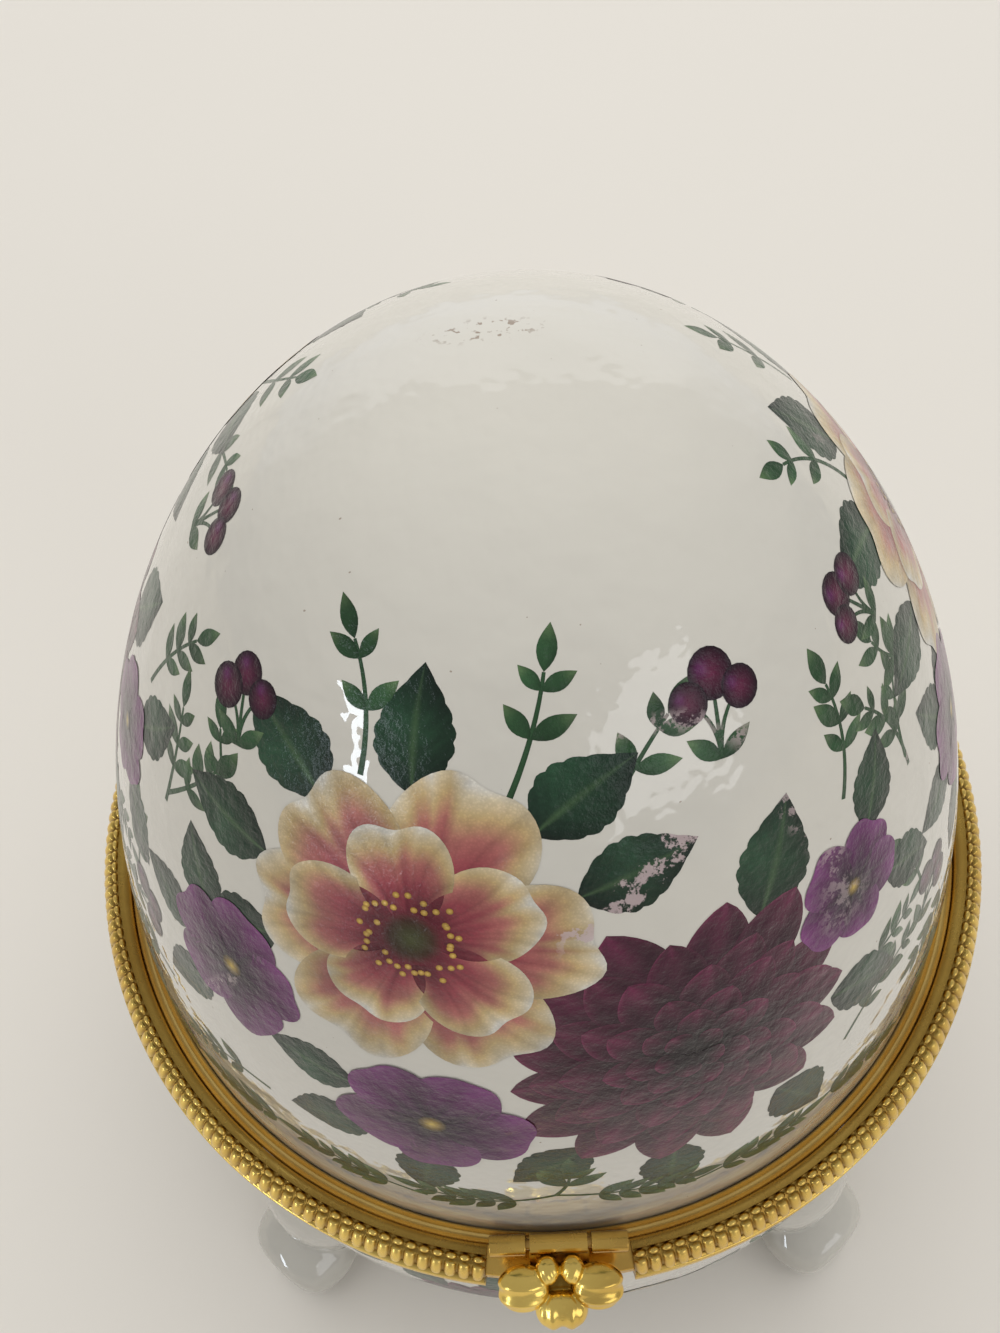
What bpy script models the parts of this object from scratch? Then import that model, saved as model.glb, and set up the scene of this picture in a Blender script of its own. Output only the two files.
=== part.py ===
"""Egg jewelry box: a glazed porcelain egg on four feet, parted at the middle.

A gilt brass collar is cemented to each porcelain rim, with a ribbed band round it.
The collars are joined by a butt hinge at the back and by a swinging hasp, which
carries a cast flower, at the front. Units are metres, +Z is up, the front is -Y,
and the origin lies on the table under the middle of the egg.
"""
from math import asin, cos, hypot, pi, radians, sin, sqrt

import bmesh
import bpy
from mathutils import Matrix, Vector

MM = 0.001

# Porcelain lid
RIM_RADIUS = 48.2 * MM
LID_HEIGHT = 75.4 * MM
LID_ROUNDNESS = 0.94
LID_TAPER = 0.082
LID_WALL = 3.6 * MM

# Porcelain bowl
BOWL_DEPTH = 56.0 * MM
BOWL_WALL = 3.6 * MM
BELLY_RADIUS = 53.0 * MM
BELLY_DEPTH = 19.0 * MM
BELLY_RISE = 46.0 * MM
BELLY_FULLNESS = 2.1
NECK_HEIGHT = 3.2 * MM
SHOULDER_HEIGHT = 1.4 * MM
TABLE_CLEARANCE = 8.0 * MM

# Feet
FOOT_ANGLE = 42.0
TOE_RADIUS = 6.3 * MM
TOE_OVERHANG = 8.1 * MM
TOE_LIFT = 5.9 * MM
KNEE_RADIUS = 8.2 * MM
SHIN_RADIUS = 6.8 * MM
ANKLE_RADIUS = 5.4 * MM
KNEE_HEIGHT = 25.0 * MM
FOOT_SPREAD = 1.2

# Clearances
SEAT_GAP = 0.3 * MM
PIN_GAP = 0.15 * MM
SWING_GAP = 0.4 * MM

# Collars round the two rims
COLLAR_SHEET = 0.7 * MM
COLLAR_WALL = 1.2 * MM
COLLAR_HEIGHT = 2.6 * MM
COLLAR_LEDGE = 3.8 * MM
BAND_WIDTH = 3.2 * MM
BAND_HEIGHT = 4.2 * MM
BAND_EDGE_HEIGHT = 1.2 * MM
BAND_CREST_WIDTH = 0.8 * MM
MOUNT_PLATE_WIDTH = 2.4 * MM
MOUNT_PLATE_HEIGHT = 3.5 * MM

# Rear hinge
HINGE_WIDTH = 24.0 * MM
HINGE_KNUCKLES = 5
HINGE_BARREL_RADIUS = 2.3 * MM
HINGE_PIN_RADIUS = 1.0 * MM
HINGE_WEB = 1.8 * MM
WEB_STEP = 0.1 * MM

# Front clasp
CLASP_WIDTH = 14.0 * MM
HASP_WIDTH = 6.0 * MM
HASP_SHEET = 0.8 * MM
HASP_DROP = 6.0 * MM
CLASP_TILT = 42.0
CLASP_FACE_HEIGHT = 2.6 * MM
CLASP_KNUCKLE_RADIUS = 1.0 * MM
CLASP_PIN_RADIUS = 0.5 * MM
CLASP_PIVOT_RISE = 4.3 * MM
STUD_HEAD_RADIUS = 1.1 * MM
STUD_SHANK_RADIUS = 0.6 * MM
STUD_DROP = 2.0 * MM

# Cast flower on the hasp: width, height and depth are half sizes
SIDE_PETAL = (2.9 * MM, 2.7 * MM, 1.8 * MM)
LOW_PETAL = (2.4 * MM, 2.6 * MM, 1.7 * MM)
TOP_PETAL = (1.35 * MM, 1.6 * MM, 1.3 * MM)
SIDE_PETAL_OFFSET = 4.1 * MM
LOW_PETAL_DROP = 2.9 * MM
TOP_PETAL_OFFSET = 1.35 * MM
TOP_PETAL_RISE = 2.1 * MM
PETAL_SEAT = 0.9 * MM
FLOWER_EYE_RADIUS = 0.9 * MM

# Mesh fineness
RING_STEPS = 48
PROFILE_STEPS = 12
ROUND_STEPS = 20
EYE_STEPS = 14
LOW_PETAL_STEPS = 18
BAND_STEPS = 6
MERGE_DISTANCE = 0.005 * MM
SMOOTH_ANGLE = 35.0

# Heights and radii worked out from the sizes above
SEAM_Z = TABLE_CLEARANCE + BOWL_DEPTH
PART_GAP = SEAT_GAP / 2
RIM_GAP = PART_GAP + COLLAR_SHEET + SEAT_GAP
COLLAR_INNER = RIM_RADIUS + SEAT_GAP
COLLAR_OUTER = COLLAR_INNER + COLLAR_WALL
BAND_INNER = COLLAR_OUTER + SEAT_GAP
BAND_OUTER = BAND_INNER + BAND_WIDTH
PLATE_OUTER = BAND_INNER + MOUNT_PLATE_WIDTH
TOE_REACH = BELLY_RADIUS + TOE_OVERHANG
TILT = radians(CLASP_TILT)
FACE_OUT = BAND_OUTER
FACE_UP = CLASP_FACE_HEIGHT


def face_point(rise, depth):
    """Distance from the egg's axis and height over the seam of a point on the flower's back plane."""
    reach = FACE_OUT - rise * cos(TILT) + depth * sin(TILT)
    height = FACE_UP + rise * sin(TILT) + depth * cos(TILT)
    return reach, height


def clasp_reach():
    """How far the lowest petal stands out from the egg's axis."""
    centre, _ = face_point(-LOW_PETAL_DROP, PETAL_SEAT)
    return centre + hypot(LOW_PETAL[1] * cos(TILT), LOW_PETAL[2] * sin(TILT))


# The hinge stands out as far as the clasp, so the egg's axis is the middle of the box
HINGE_PIN_Y = clasp_reach() - HINGE_BARREL_RADIUS
PIVOT_OUT, PIVOT_UP = face_point(CLASP_PIVOT_RISE, -SEAT_GAP - HASP_SHEET / 2)


def clear_scene():
    for old in list(bpy.data.objects):
        bpy.data.objects.remove(old, do_unlink=True)


def make_collection(name):
    collection = bpy.data.collections.new(name)
    bpy.context.scene.collection.children.link(collection)
    return collection


def make_material(name, colour, roughness, metallic, coat=0.0):
    material = bpy.data.materials.new(name)
    material.use_nodes = True
    shader = material.node_tree.nodes["Principled BSDF"]
    shader.inputs["Base Color"].default_value = (*colour, 1.0)
    shader.inputs["Roughness"].default_value = roughness
    shader.inputs["Metallic"].default_value = metallic
    shader.inputs["Coat Weight"].default_value = coat
    material.diffuse_color = (*colour, 1.0)
    return material


clear_scene()
PARTS = make_collection("egg_jewelry_box")
CUTTERS = make_collection("cutters")
PORCELAIN = make_material("glazed_porcelain", (0.80, 0.79, 0.74), 0.12, 0.0, 0.5)
GILT = make_material("gilt_brass", (0.72, 0.50, 0.17), 0.24, 1.0)
POLISHED_GILT = make_material("polished_gilt", (0.62, 0.42, 0.13), 0.14, 1.0)
STEEL = make_material("steel_pin", (0.55, 0.54, 0.52), 0.3, 1.0)


def empty_at(name, location, parent=None):
    empty = bpy.data.objects.new(name, None)
    empty.empty_display_size = 10 * MM
    PARTS.objects.link(empty)
    empty.parent = parent
    empty.location = Vector(location) - place_of(parent)
    return empty


def place_of(empty):
    """World position of an empty, which only ever moves with its parents."""
    place = Vector((0, 0, 0))
    while empty is not None:
        place += empty.location
        empty = empty.parent
    return place


def finish(obj, material, parent):
    """Give a part its material and hang it on its body's empty without moving it."""
    obj.data.materials.clear()
    obj.data.materials.append(material)
    obj.parent = parent
    obj.matrix_parent_inverse = Matrix.Translation(-place_of(parent))
    return obj


def object_from(name, mesh, collection=PARTS):
    obj = bpy.data.objects.new(name, mesh)
    collection.objects.link(obj)
    return obj


def mesh_from(name, work):
    bmesh.ops.recalc_face_normals(work, faces=work.faces)
    mesh = bpy.data.meshes.new(name)
    work.to_mesh(mesh)
    work.free()
    mesh.shade_smooth()
    mesh.set_sharp_from_angle(angle=radians(SMOOTH_ANGLE))
    return mesh


def as_cutter(obj):
    obj.hide_render = True
    obj.display_type = "WIRE"
    return obj


def combine(obj, other, operation):
    modifier = obj.modifiers.new(other.name, "BOOLEAN")
    modifier.operation = operation
    modifier.solver = "EXACT"
    modifier.object = other
    return obj


def cut(obj, cutter):
    return combine(obj, as_cutter(cutter), "DIFFERENCE")


def join(obj, extra):
    return combine(obj, as_cutter(extra), "UNION")


def box(name, low, high):
    work = bmesh.new()
    bmesh.ops.create_cube(work, size=1.0)
    low, high = Vector(low), Vector(high)
    bmesh.ops.scale(work, vec=high - low, verts=work.verts)
    bmesh.ops.translate(work, vec=(low + high) / 2, verts=work.verts)
    return object_from(name, mesh_from(name, work), CUTTERS)


def rod(name, radius, start, end, collection=CUTTERS, sides=ROUND_STEPS):
    """A cylinder from one point to another."""
    start, end = Vector(start), Vector(end)
    work = bmesh.new()
    bmesh.ops.create_cone(work, cap_ends=True, segments=sides, radius1=radius, radius2=radius,
                          depth=(end - start).length)
    turn = (end - start).to_track_quat("Z", "Y").to_matrix().to_4x4()
    bmesh.ops.transform(work, matrix=Matrix.Translation((start + end) / 2) @ turn, verts=work.verts)
    return object_from(name, mesh_from(name, work), collection)


def ball(name, half_sizes, place, collection=CUTTERS, rings=10, sides=16):
    work = bmesh.new()
    bmesh.ops.create_uvsphere(work, u_segments=sides, v_segments=rings, radius=1.0)
    bmesh.ops.scale(work, vec=half_sizes, verts=work.verts)
    bmesh.ops.transform(work, matrix=place, verts=work.verts)
    return object_from(name, mesh_from(name, work), collection)


def turned(name, profile, collection=PARTS):
    """A closed profile in the XZ plane, turned once about the egg's axis."""
    work = bmesh.new()
    corners = [work.verts.new((radius, 0, SEAM_Z + height)) for radius, height in profile]
    on_axis = profile[0][0] == 0 and profile[-1][0] == 0
    last = len(corners) - 1 if on_axis else len(corners)
    for index in range(last):
        work.edges.new((corners[index], corners[(index + 1) % len(corners)]))
    mesh = bpy.data.meshes.new(name)
    work.to_mesh(mesh)
    work.free()
    obj = object_from(name, mesh, collection)
    screw = obj.modifiers.new("turn", "SCREW")
    screw.steps = RING_STEPS
    screw.render_steps = RING_STEPS
    screw.use_merge_vertices = True
    screw.merge_threshold = MERGE_DISTANCE
    screw.use_smooth_shade = True
    return obj


def ring_arc(name, profile, start, sweep, collection=PARTS):
    """A closed profile swept part of the way round the egg's axis, with flat ends."""
    work = bmesh.new()
    corners = [work.verts.new((radius, 0, SEAM_Z + height)) for radius, height in profile]
    face = work.faces.new(corners)
    bmesh.ops.rotate(work, cent=(0, 0, 0), matrix=Matrix.Rotation(start, 3, "Z"), verts=work.verts)
    steps = max(2, round(RING_STEPS * sweep / (2 * pi)))
    bmesh.ops.spin(work, geom=[face], cent=(0, 0, 0), axis=(0, 0, 1), angle=sweep, steps=steps)
    bmesh.ops.remove_doubles(work, verts=work.verts, dist=MERGE_DISTANCE)
    return object_from(name, mesh_from(name, work), collection)


def lid_curve(inset):
    """Outer or inset egg curve of the lid, from the top down to the rim."""
    points = []
    rim_angle = asin(RIM_GAP / (LID_HEIGHT - inset))
    for step in range(PROFILE_STEPS + 1):
        share = step / PROFILE_STEPS
        angle = pi / 2 + (rim_angle - pi / 2) * share
        taper = 1 - LID_TAPER * sin(angle)
        radius = (RIM_RADIUS - inset) * cos(angle) ** LID_ROUNDNESS * taper if step else 0
        points.append((radius, (LID_HEIGHT - inset) * sin(angle)))
    return points


def bowl_radius(height, inset):
    """Radius of the bowl, inset from its outer surface, at a height that is negative below the seam."""
    drop = -height - BELLY_DEPTH
    widest = BELLY_RADIUS - inset
    if drop < 0:
        return widest * sqrt(1 - (drop / (BELLY_RISE - inset)) ** 2)
    share = min(1.0, drop / (BOWL_DEPTH - BELLY_DEPTH - inset))
    return widest * (1 - share ** BELLY_FULLNESS) ** (1 / BELLY_FULLNESS)


def bowl_curve(top, inset):
    """Bowl curve from a height below the seam down to the middle of the bottom."""
    upper = BELLY_DEPTH + top
    lower = BOWL_DEPTH - BELLY_DEPTH - inset
    upper_steps = PROFILE_STEPS // 4
    heights = [top - upper * step / upper_steps for step in range(upper_steps)]
    heights += [-BELLY_DEPTH - lower * sin(pi / 2 * step / PROFILE_STEPS) for step in range(PROFILE_STEPS)]
    points = [(bowl_radius(height, inset), height) for height in heights]
    return points + [(0, -BELLY_DEPTH - lower)]


def make_lid_shell(body):
    outer = lid_curve(0)
    inner = lid_curve(LID_WALL)
    return finish(turned("lid_shell", outer + inner[::-1]), PORCELAIN, body)


def make_bowl_shell(body):
    """The bowl, with a plain neck for the collar and a shoulder under it."""
    neck_end = -RIM_GAP - NECK_HEIGHT
    shoulder = neck_end - SHOULDER_HEIGHT
    inner = bowl_curve(-RIM_GAP, BOWL_WALL)
    outer = [(RIM_RADIUS, -RIM_GAP), (RIM_RADIUS, neck_end)] + bowl_curve(shoulder, 0)
    return finish(turned("bowl_shell", inner[::-1] + outer), PORCELAIN, body)


def collar_profile(side):
    """An L section: a ledge under the porcelain's edge and a wall round it."""
    inner = RIM_RADIUS - COLLAR_LEDGE
    corners = [
        (inner, PART_GAP),
        (COLLAR_OUTER, PART_GAP),
        (COLLAR_OUTER, COLLAR_HEIGHT - COLLAR_WALL / 3),
        (COLLAR_OUTER - COLLAR_WALL / 4, COLLAR_HEIGHT),
        (COLLAR_INNER + COLLAR_WALL / 4, COLLAR_HEIGHT),
        (COLLAR_INNER, COLLAR_HEIGHT - COLLAR_WALL / 3),
        (COLLAR_INNER, PART_GAP + COLLAR_SHEET),
        (inner, PART_GAP + COLLAR_SHEET),
    ]
    placed = [(radius, side * height) for radius, height in corners]
    return placed[::-1] if side > 0 else placed


def make_collar(name, side, body):
    obj = turned(name, collar_profile(side))
    return finish(obj, POLISHED_GILT, body)


def band_profile(side):
    """The ribbed band's section: a rounded bank that is highest near the porcelain."""
    crest = BAND_INNER + BAND_CREST_WIDTH
    corners = [(BAND_INNER, PART_GAP), (BAND_INNER, BAND_HEIGHT - BAND_CREST_WIDTH)]
    for step in range(BAND_STEPS + 1):
        angle = pi / 2 * (1 - step / BAND_STEPS)
        out = crest + (BAND_OUTER - crest) * cos(angle)
        up = BAND_EDGE_HEIGHT + (BAND_HEIGHT - BAND_EDGE_HEIGHT) * sin(angle)
        corners.append((out, up))
    corners.append((BAND_OUTER - BAND_CREST_WIDTH / 2, PART_GAP))
    return [(radius, side * height) for radius, height in corners]


def half_angle(width):
    return asin(width / 2 / BAND_INNER) + SEAT_GAP / BAND_INNER


def make_bands(prefix, side, body):
    """Two lengths of ribbed band, from the clasp round to the hinge on each side."""
    front = half_angle(CLASP_WIDTH)
    rear = half_angle(HINGE_WIDTH)
    sweep = pi - front - rear
    right = ring_arc(prefix + "_ribbed_band_right", band_profile(side), -pi / 2 + front, sweep)
    left = ring_arc(prefix + "_ribbed_band_left", band_profile(side), pi / 2 + rear, sweep)
    finish(right, GILT, body)
    finish(left, GILT, body)


def plate_profile(side):
    """Section of the plates that stand in the gaps of the ribbed bands."""
    corners = [
        (BAND_INNER, PART_GAP),
        (PLATE_OUTER, PART_GAP),
        (PLATE_OUTER, BAND_EDGE_HEIGHT),
        (BAND_INNER, MOUNT_PLATE_HEIGHT),
    ]
    return [(radius, side * height) for radius, height in corners]


def mount_plate(name, side, width, middle):
    """A short plate soldered to a collar's wall, with its middle at the given angle."""
    half = asin(width / 2 / BAND_INNER)
    return ring_arc(name, plate_profile(side), middle - half, 2 * half)


def along_x(name, radius, left, right, y, z, collection=CUTTERS, sides=ROUND_STEPS):
    return rod(name, radius, (left, y, SEAM_Z + z), (right, y, SEAM_Z + z), collection, sides)


def knuckle_spans(width, count):
    """Left and right ends of the hinge's knuckles, from left to right."""
    length = (width - (count - 1) * SEAT_GAP) / count
    starts = [-width / 2 + index * (length + SEAT_GAP) for index in range(count)]
    return [(start, start + length) for start in starts]


def make_hinge_leaf(name, side, first, body):
    """A leaf with every second knuckle, joined to its plate by a web under each."""
    leaf = mount_plate(name, side, HINGE_WIDTH, pi / 2)
    web_heights = sorted((side * PART_GAP, side * HINGE_WEB))
    for index, (left, right) in enumerate(knuckle_spans(HINGE_WIDTH, HINGE_KNUCKLES)):
        if index % 2 != first:
            continue
        knuckle = along_x(f"{name}_knuckle_{index}", HINGE_BARREL_RADIUS, left, right, HINGE_PIN_Y, 0)
        nearest = max(0, left, -right)
        inside = sqrt(BAND_INNER ** 2 - nearest ** 2) + MOUNT_PLATE_WIDTH / 4
        web = box(f"{name}_web_{index}", (left + WEB_STEP, inside, SEAM_Z + web_heights[0]),
                  (right - WEB_STEP, HINGE_PIN_Y, SEAM_Z + web_heights[1]))
        join(leaf, knuckle)
        join(leaf, web)
    bore = along_x(name + "_bore", HINGE_PIN_RADIUS + PIN_GAP, -HINGE_WIDTH, HINGE_WIDTH, HINGE_PIN_Y, 0)
    cut(leaf, bore)
    return finish(leaf, GILT, body)


def make_hinge_pin(body):
    half = HINGE_WIDTH / 2
    pin = along_x("hinge_pin", HINGE_PIN_RADIUS, -half, half, HINGE_PIN_Y, 0, PARTS)
    return finish(pin, STEEL, body)


def make_clasp_plate(body):
    """The plate on the lid's collar, with the two outer knuckles of the clasp."""
    plate = mount_plate("clasp_plate", 1, CLASP_WIDTH, -pi / 2)
    inner_end = HASP_WIDTH / 2 + SEAT_GAP
    outer_end = CLASP_WIDTH / 2
    for name, left, right in (("left", -outer_end, -inner_end), ("right", inner_end, outer_end)):
        knuckle = along_x(f"clasp_plate_knuckle_{name}", CLASP_KNUCKLE_RADIUS, left, right,
                          -PIVOT_OUT, PIVOT_UP)
        foot = box(f"clasp_plate_foot_{name}",
                   (left + WEB_STEP, -PIVOT_OUT - 0.9 * CLASP_KNUCKLE_RADIUS,
                    SEAM_Z + COLLAR_HEIGHT + SEAT_GAP),
                   (right - WEB_STEP, -PIVOT_OUT + 0.5 * CLASP_KNUCKLE_RADIUS,
                    SEAM_Z + PIVOT_UP - CLASP_PIN_RADIUS))
        join(plate, knuckle)
        join(plate, foot)
    bore = along_x("clasp_plate_bore", CLASP_PIN_RADIUS + PIN_GAP, -CLASP_WIDTH, CLASP_WIDTH,
                   -PIVOT_OUT, PIVOT_UP)
    cut(plate, bore)
    return finish(plate, GILT, body)


def make_clasp_pin(body):
    half = CLASP_WIDTH / 2
    pin = along_x("clasp_pin", CLASP_PIN_RADIUS, -half, half, -PIVOT_OUT, PIVOT_UP, PARTS)
    return finish(pin, STEEL, body)


def hasp_outline():
    """The hasp's side outline: down the slope behind the flower, then straight down."""
    outer, inner = -SEAT_GAP, -SEAT_GAP - HASP_SHEET
    front = BAND_OUTER + SWING_GAP
    back = front + HASP_SHEET
    low = -HASP_DROP + BAND_EDGE_HEIGHT
    top_out = face_point(CLASP_PIVOT_RISE, outer)
    top_in = face_point(CLASP_PIVOT_RISE, inner)
    bend_out = (FACE_OUT - back) / cos(TILT) + outer * sin(TILT) / cos(TILT)
    bend_in = (FACE_OUT - front) / cos(TILT) + inner * sin(TILT) / cos(TILT)
    corner_out = face_point(bend_out, outer)
    corner_in = face_point(bend_in, inner)
    return [top_out, corner_out, (back, low), (front, low), corner_in, top_in]


def make_hasp(body):
    """The swinging strap: one knuckle on the pin, a slope and a forked lower end."""
    work = bmesh.new()
    corners = [work.verts.new((-HASP_WIDTH / 2, -out, SEAM_Z + up)) for out, up in hasp_outline()]
    face = work.faces.new(corners)
    pushed = bmesh.ops.extrude_face_region(work, geom=[face])
    moved = [item for item in pushed["geom"] if isinstance(item, bmesh.types.BMVert)]
    bmesh.ops.translate(work, vec=(HASP_WIDTH, 0, 0), verts=moved)
    hasp = object_from("hasp", mesh_from("hasp", work))
    half = HASP_WIDTH / 2 - WEB_STEP
    knuckle = along_x("hasp_knuckle", CLASP_KNUCKLE_RADIUS, -half, half, -PIVOT_OUT, PIVOT_UP)
    join(hasp, knuckle)
    bore = along_x("hasp_bore", CLASP_PIN_RADIUS + PIN_GAP, -HASP_WIDTH, HASP_WIDTH, -PIVOT_OUT, PIVOT_UP)
    cut(hasp, bore)
    slot = STUD_HEAD_RADIUS + SEAT_GAP
    fork = box("hasp_fork", (-slot, -FACE_OUT - HASP_DROP, SEAM_Z - 2 * HASP_DROP),
               (slot, -FACE_OUT + HASP_DROP, SEAM_Z - STUD_DROP + slot))
    cut(hasp, fork)
    return finish(hasp, GILT, body)


def face_matrix():
    """Places things on the flower's back plane: X to the right, Y up the slope, Z outwards."""
    base = Matrix.Translation((0, -FACE_OUT, SEAM_Z + FACE_UP))
    return base @ Matrix.Rotation(TILT, 4, "X")


def make_flower(body):
    """A cast flower: two wide side petals, one low petal and two small top petals."""
    place = face_matrix()
    petals = [
        ("left", SIDE_PETAL, (-SIDE_PETAL_OFFSET, 0, PETAL_SEAT)),
        ("right", SIDE_PETAL, (SIDE_PETAL_OFFSET, 0, PETAL_SEAT)),
        ("top_left", TOP_PETAL, (-TOP_PETAL_OFFSET, TOP_PETAL_RISE, PETAL_SEAT)),
        ("top_right", TOP_PETAL, (TOP_PETAL_OFFSET, TOP_PETAL_RISE, PETAL_SEAT)),
    ]
    low_place = place @ Matrix.Translation((0, -LOW_PETAL_DROP, PETAL_SEAT))
    flower = ball("clasp_flower", LOW_PETAL, low_place, PARTS, sides=LOW_PETAL_STEPS)
    for name, half_sizes, offset in petals:
        petal = ball(f"flower_petal_{name}", half_sizes, place @ Matrix.Translation(offset))
        join(flower, petal)
    room = box("flower_back_room", (-CLASP_WIDTH, -CLASP_WIDTH, -CLASP_WIDTH),
               (CLASP_WIDTH, CLASP_WIDTH, 0))
    room.matrix_world = place
    cut(flower, room)
    eye = ball("flower_eye", (FLOWER_EYE_RADIUS,) * 3,
               place @ Matrix.Translation((0, 0, SIDE_PETAL[2])), sides=EYE_STEPS)
    cut(flower, eye)
    return finish(flower, GILT, body)


def make_catch_plate(body):
    """The plate on the bowl's collar that carries the catch's stud."""
    plate = mount_plate("catch_plate", -1, CLASP_WIDTH, -pi / 2)
    hole = rod("catch_plate_hole", STUD_SHANK_RADIUS + PIN_GAP,
               (0, -BAND_INNER + STUD_HEAD_RADIUS, SEAM_Z - STUD_DROP),
               (0, -FACE_OUT, SEAM_Z - STUD_DROP))
    cut(plate, hole)
    return finish(plate, GILT, body)


def make_catch_stud(body):
    """A stud with a round head, riveted in the plate."""
    height = SEAM_Z - STUD_DROP
    head_out = BAND_OUTER + SWING_GAP + HASP_SHEET / 2
    stud = rod("catch_stud", STUD_SHANK_RADIUS, (0, -BAND_INNER, height), (0, -head_out, height), PARTS)
    head = ball("catch_stud_head", (STUD_HEAD_RADIUS,) * 3, Matrix.Translation((0, -head_out, height)))
    join(stud, head)
    return finish(stud, GILT, body)


def foot_route():
    """Points and radii of a leg: out of the bowl's flank, down, and out again to a round toe."""
    flank = bowl_radius(KNEE_HEIGHT - SEAM_Z, 0)
    fall = KNEE_HEIGHT - TOE_LIFT
    toe = TOE_REACH - TOE_RADIUS
    return [
        (flank - 1.2 * KNEE_RADIUS, KNEE_HEIGHT + 0.3 * KNEE_RADIUS, 0.9 * KNEE_RADIUS),
        (flank + 0.1 * KNEE_RADIUS, KNEE_HEIGHT + 0.25 * KNEE_RADIUS, KNEE_RADIUS),
        (flank + 0.55 * KNEE_RADIUS, TOE_LIFT + 0.7 * fall, SHIN_RADIUS),
        (flank + 0.5 * (toe - flank), TOE_LIFT + 0.3 * fall, ANKLE_RADIUS),
        (toe - 0.7 * TOE_RADIUS, TOE_LIFT, ANKLE_RADIUS),
        (toe, TOE_LIFT, 1.05 * TOE_RADIUS),
        (toe + 0.75 * TOE_RADIUS, TOE_LIFT, 0.9 * TOE_RADIUS),
        (TOE_REACH, TOE_LIFT, 0.5 * TOE_RADIUS),
        (TOE_REACH, TOE_LIFT, 0.1 * TOE_RADIUS),
    ]


def foot_mesh():
    """A curved, tapered leg along +X, as one closed tube."""
    route = foot_route()
    curve = bpy.data.curves.new("foot_leg", "CURVE")
    curve.dimensions = "3D"
    curve.bevel_depth = 1.0
    curve.bevel_resolution = 3
    curve.resolution_u = 3
    curve.use_fill_caps = True
    spline = curve.splines.new("NURBS")
    spline.points.add(len(route) - 1)
    for point, (out, up, radius) in zip(spline.points, route):
        point.co = (out, 0, up, 1)
        point.radius = radius
    spline.use_endpoint_u = True
    spline.order_u = 3
    leg_curve = object_from("foot_leg", curve, CUTTERS)
    bpy.context.view_layer.update()
    evaluated = leg_curve.evaluated_get(bpy.context.evaluated_depsgraph_get())
    mesh = bpy.data.meshes.new_from_object(evaluated)
    bpy.data.objects.remove(leg_curve, do_unlink=True)
    work = bmesh.new()
    work.from_mesh(mesh)
    bmesh.ops.remove_doubles(work, verts=work.verts, dist=MERGE_DISTANCE)
    bmesh.ops.scale(work, vec=(1, FOOT_SPREAD, 1), verts=work.verts)
    bpy.data.meshes.remove(mesh)
    return mesh_from("foot", work)


def make_feet(body):
    """Four feet, each cut to the bowl's flank and flat where it stands."""
    leg = foot_mesh()
    grown = bowl_curve(-RIM_GAP, -SEAT_GAP)
    bowl_room = turned("bowl_room", [(0, -RIM_GAP)] + grown, CUTTERS)
    reach = 2 * TOE_REACH
    table = box("table_room", (-reach, -reach, -TOE_RADIUS), (reach, reach, 0))
    corners = {
        "front_right": -90 + FOOT_ANGLE,
        "front_left": -90 - FOOT_ANGLE,
        "rear_right": 90 - FOOT_ANGLE,
        "rear_left": 90 + FOOT_ANGLE,
    }
    for name, angle in corners.items():
        foot = object_from("foot_" + name, leg.copy())
        foot.matrix_world = Matrix.Rotation(radians(angle), 4, "Z")
        cut(foot, bowl_room)
        cut(foot, table)
        finish(foot, PORCELAIN, body)


def build():
    base = empty_at("base_body", (0, 0, 0))
    lid = empty_at("lid_hinge_axis", (0, HINGE_PIN_Y, SEAM_Z), base)
    hasp = empty_at("hasp_axis", (0, -PIVOT_OUT, SEAM_Z + PIVOT_UP), lid)
    make_bowl_shell(base)
    make_feet(base)
    make_collar("base_collar", -1, base)
    make_bands("base", -1, base)
    make_hinge_leaf("base_hinge_leaf", -1, 0, base)
    make_hinge_pin(base)
    make_catch_plate(base)
    make_catch_stud(base)
    make_lid_shell(lid)
    make_collar("lid_collar", 1, lid)
    make_bands("lid", 1, lid)
    make_hinge_leaf("lid_hinge_leaf", 1, 1, lid)
    make_clasp_plate(lid)
    make_clasp_pin(lid)
    make_hasp(hasp)
    make_flower(hasp)


build()
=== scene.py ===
"""Dressed model of the egg jewelry box: porcelain, printed garland, ribbed gilt rim and clasp."""

from functools import partial
from math import asin, cos, hypot, pi, radians, sin, sqrt, tau

import bmesh
import bpy
import numpy as np
from mathutils import Matrix, Quaternion, Vector


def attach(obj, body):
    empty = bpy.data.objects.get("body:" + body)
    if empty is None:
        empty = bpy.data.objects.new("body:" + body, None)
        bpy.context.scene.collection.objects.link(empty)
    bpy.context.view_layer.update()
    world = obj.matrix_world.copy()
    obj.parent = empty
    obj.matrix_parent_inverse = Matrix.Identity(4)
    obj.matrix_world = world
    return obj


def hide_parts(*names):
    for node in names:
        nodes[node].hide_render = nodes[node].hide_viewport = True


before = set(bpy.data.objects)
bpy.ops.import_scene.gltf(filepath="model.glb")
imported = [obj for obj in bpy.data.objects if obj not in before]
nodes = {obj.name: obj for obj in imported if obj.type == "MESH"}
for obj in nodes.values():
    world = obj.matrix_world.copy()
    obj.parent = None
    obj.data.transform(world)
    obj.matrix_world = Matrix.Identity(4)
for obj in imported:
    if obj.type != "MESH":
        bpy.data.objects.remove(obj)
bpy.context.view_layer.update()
scene = bpy.context.scene

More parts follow.
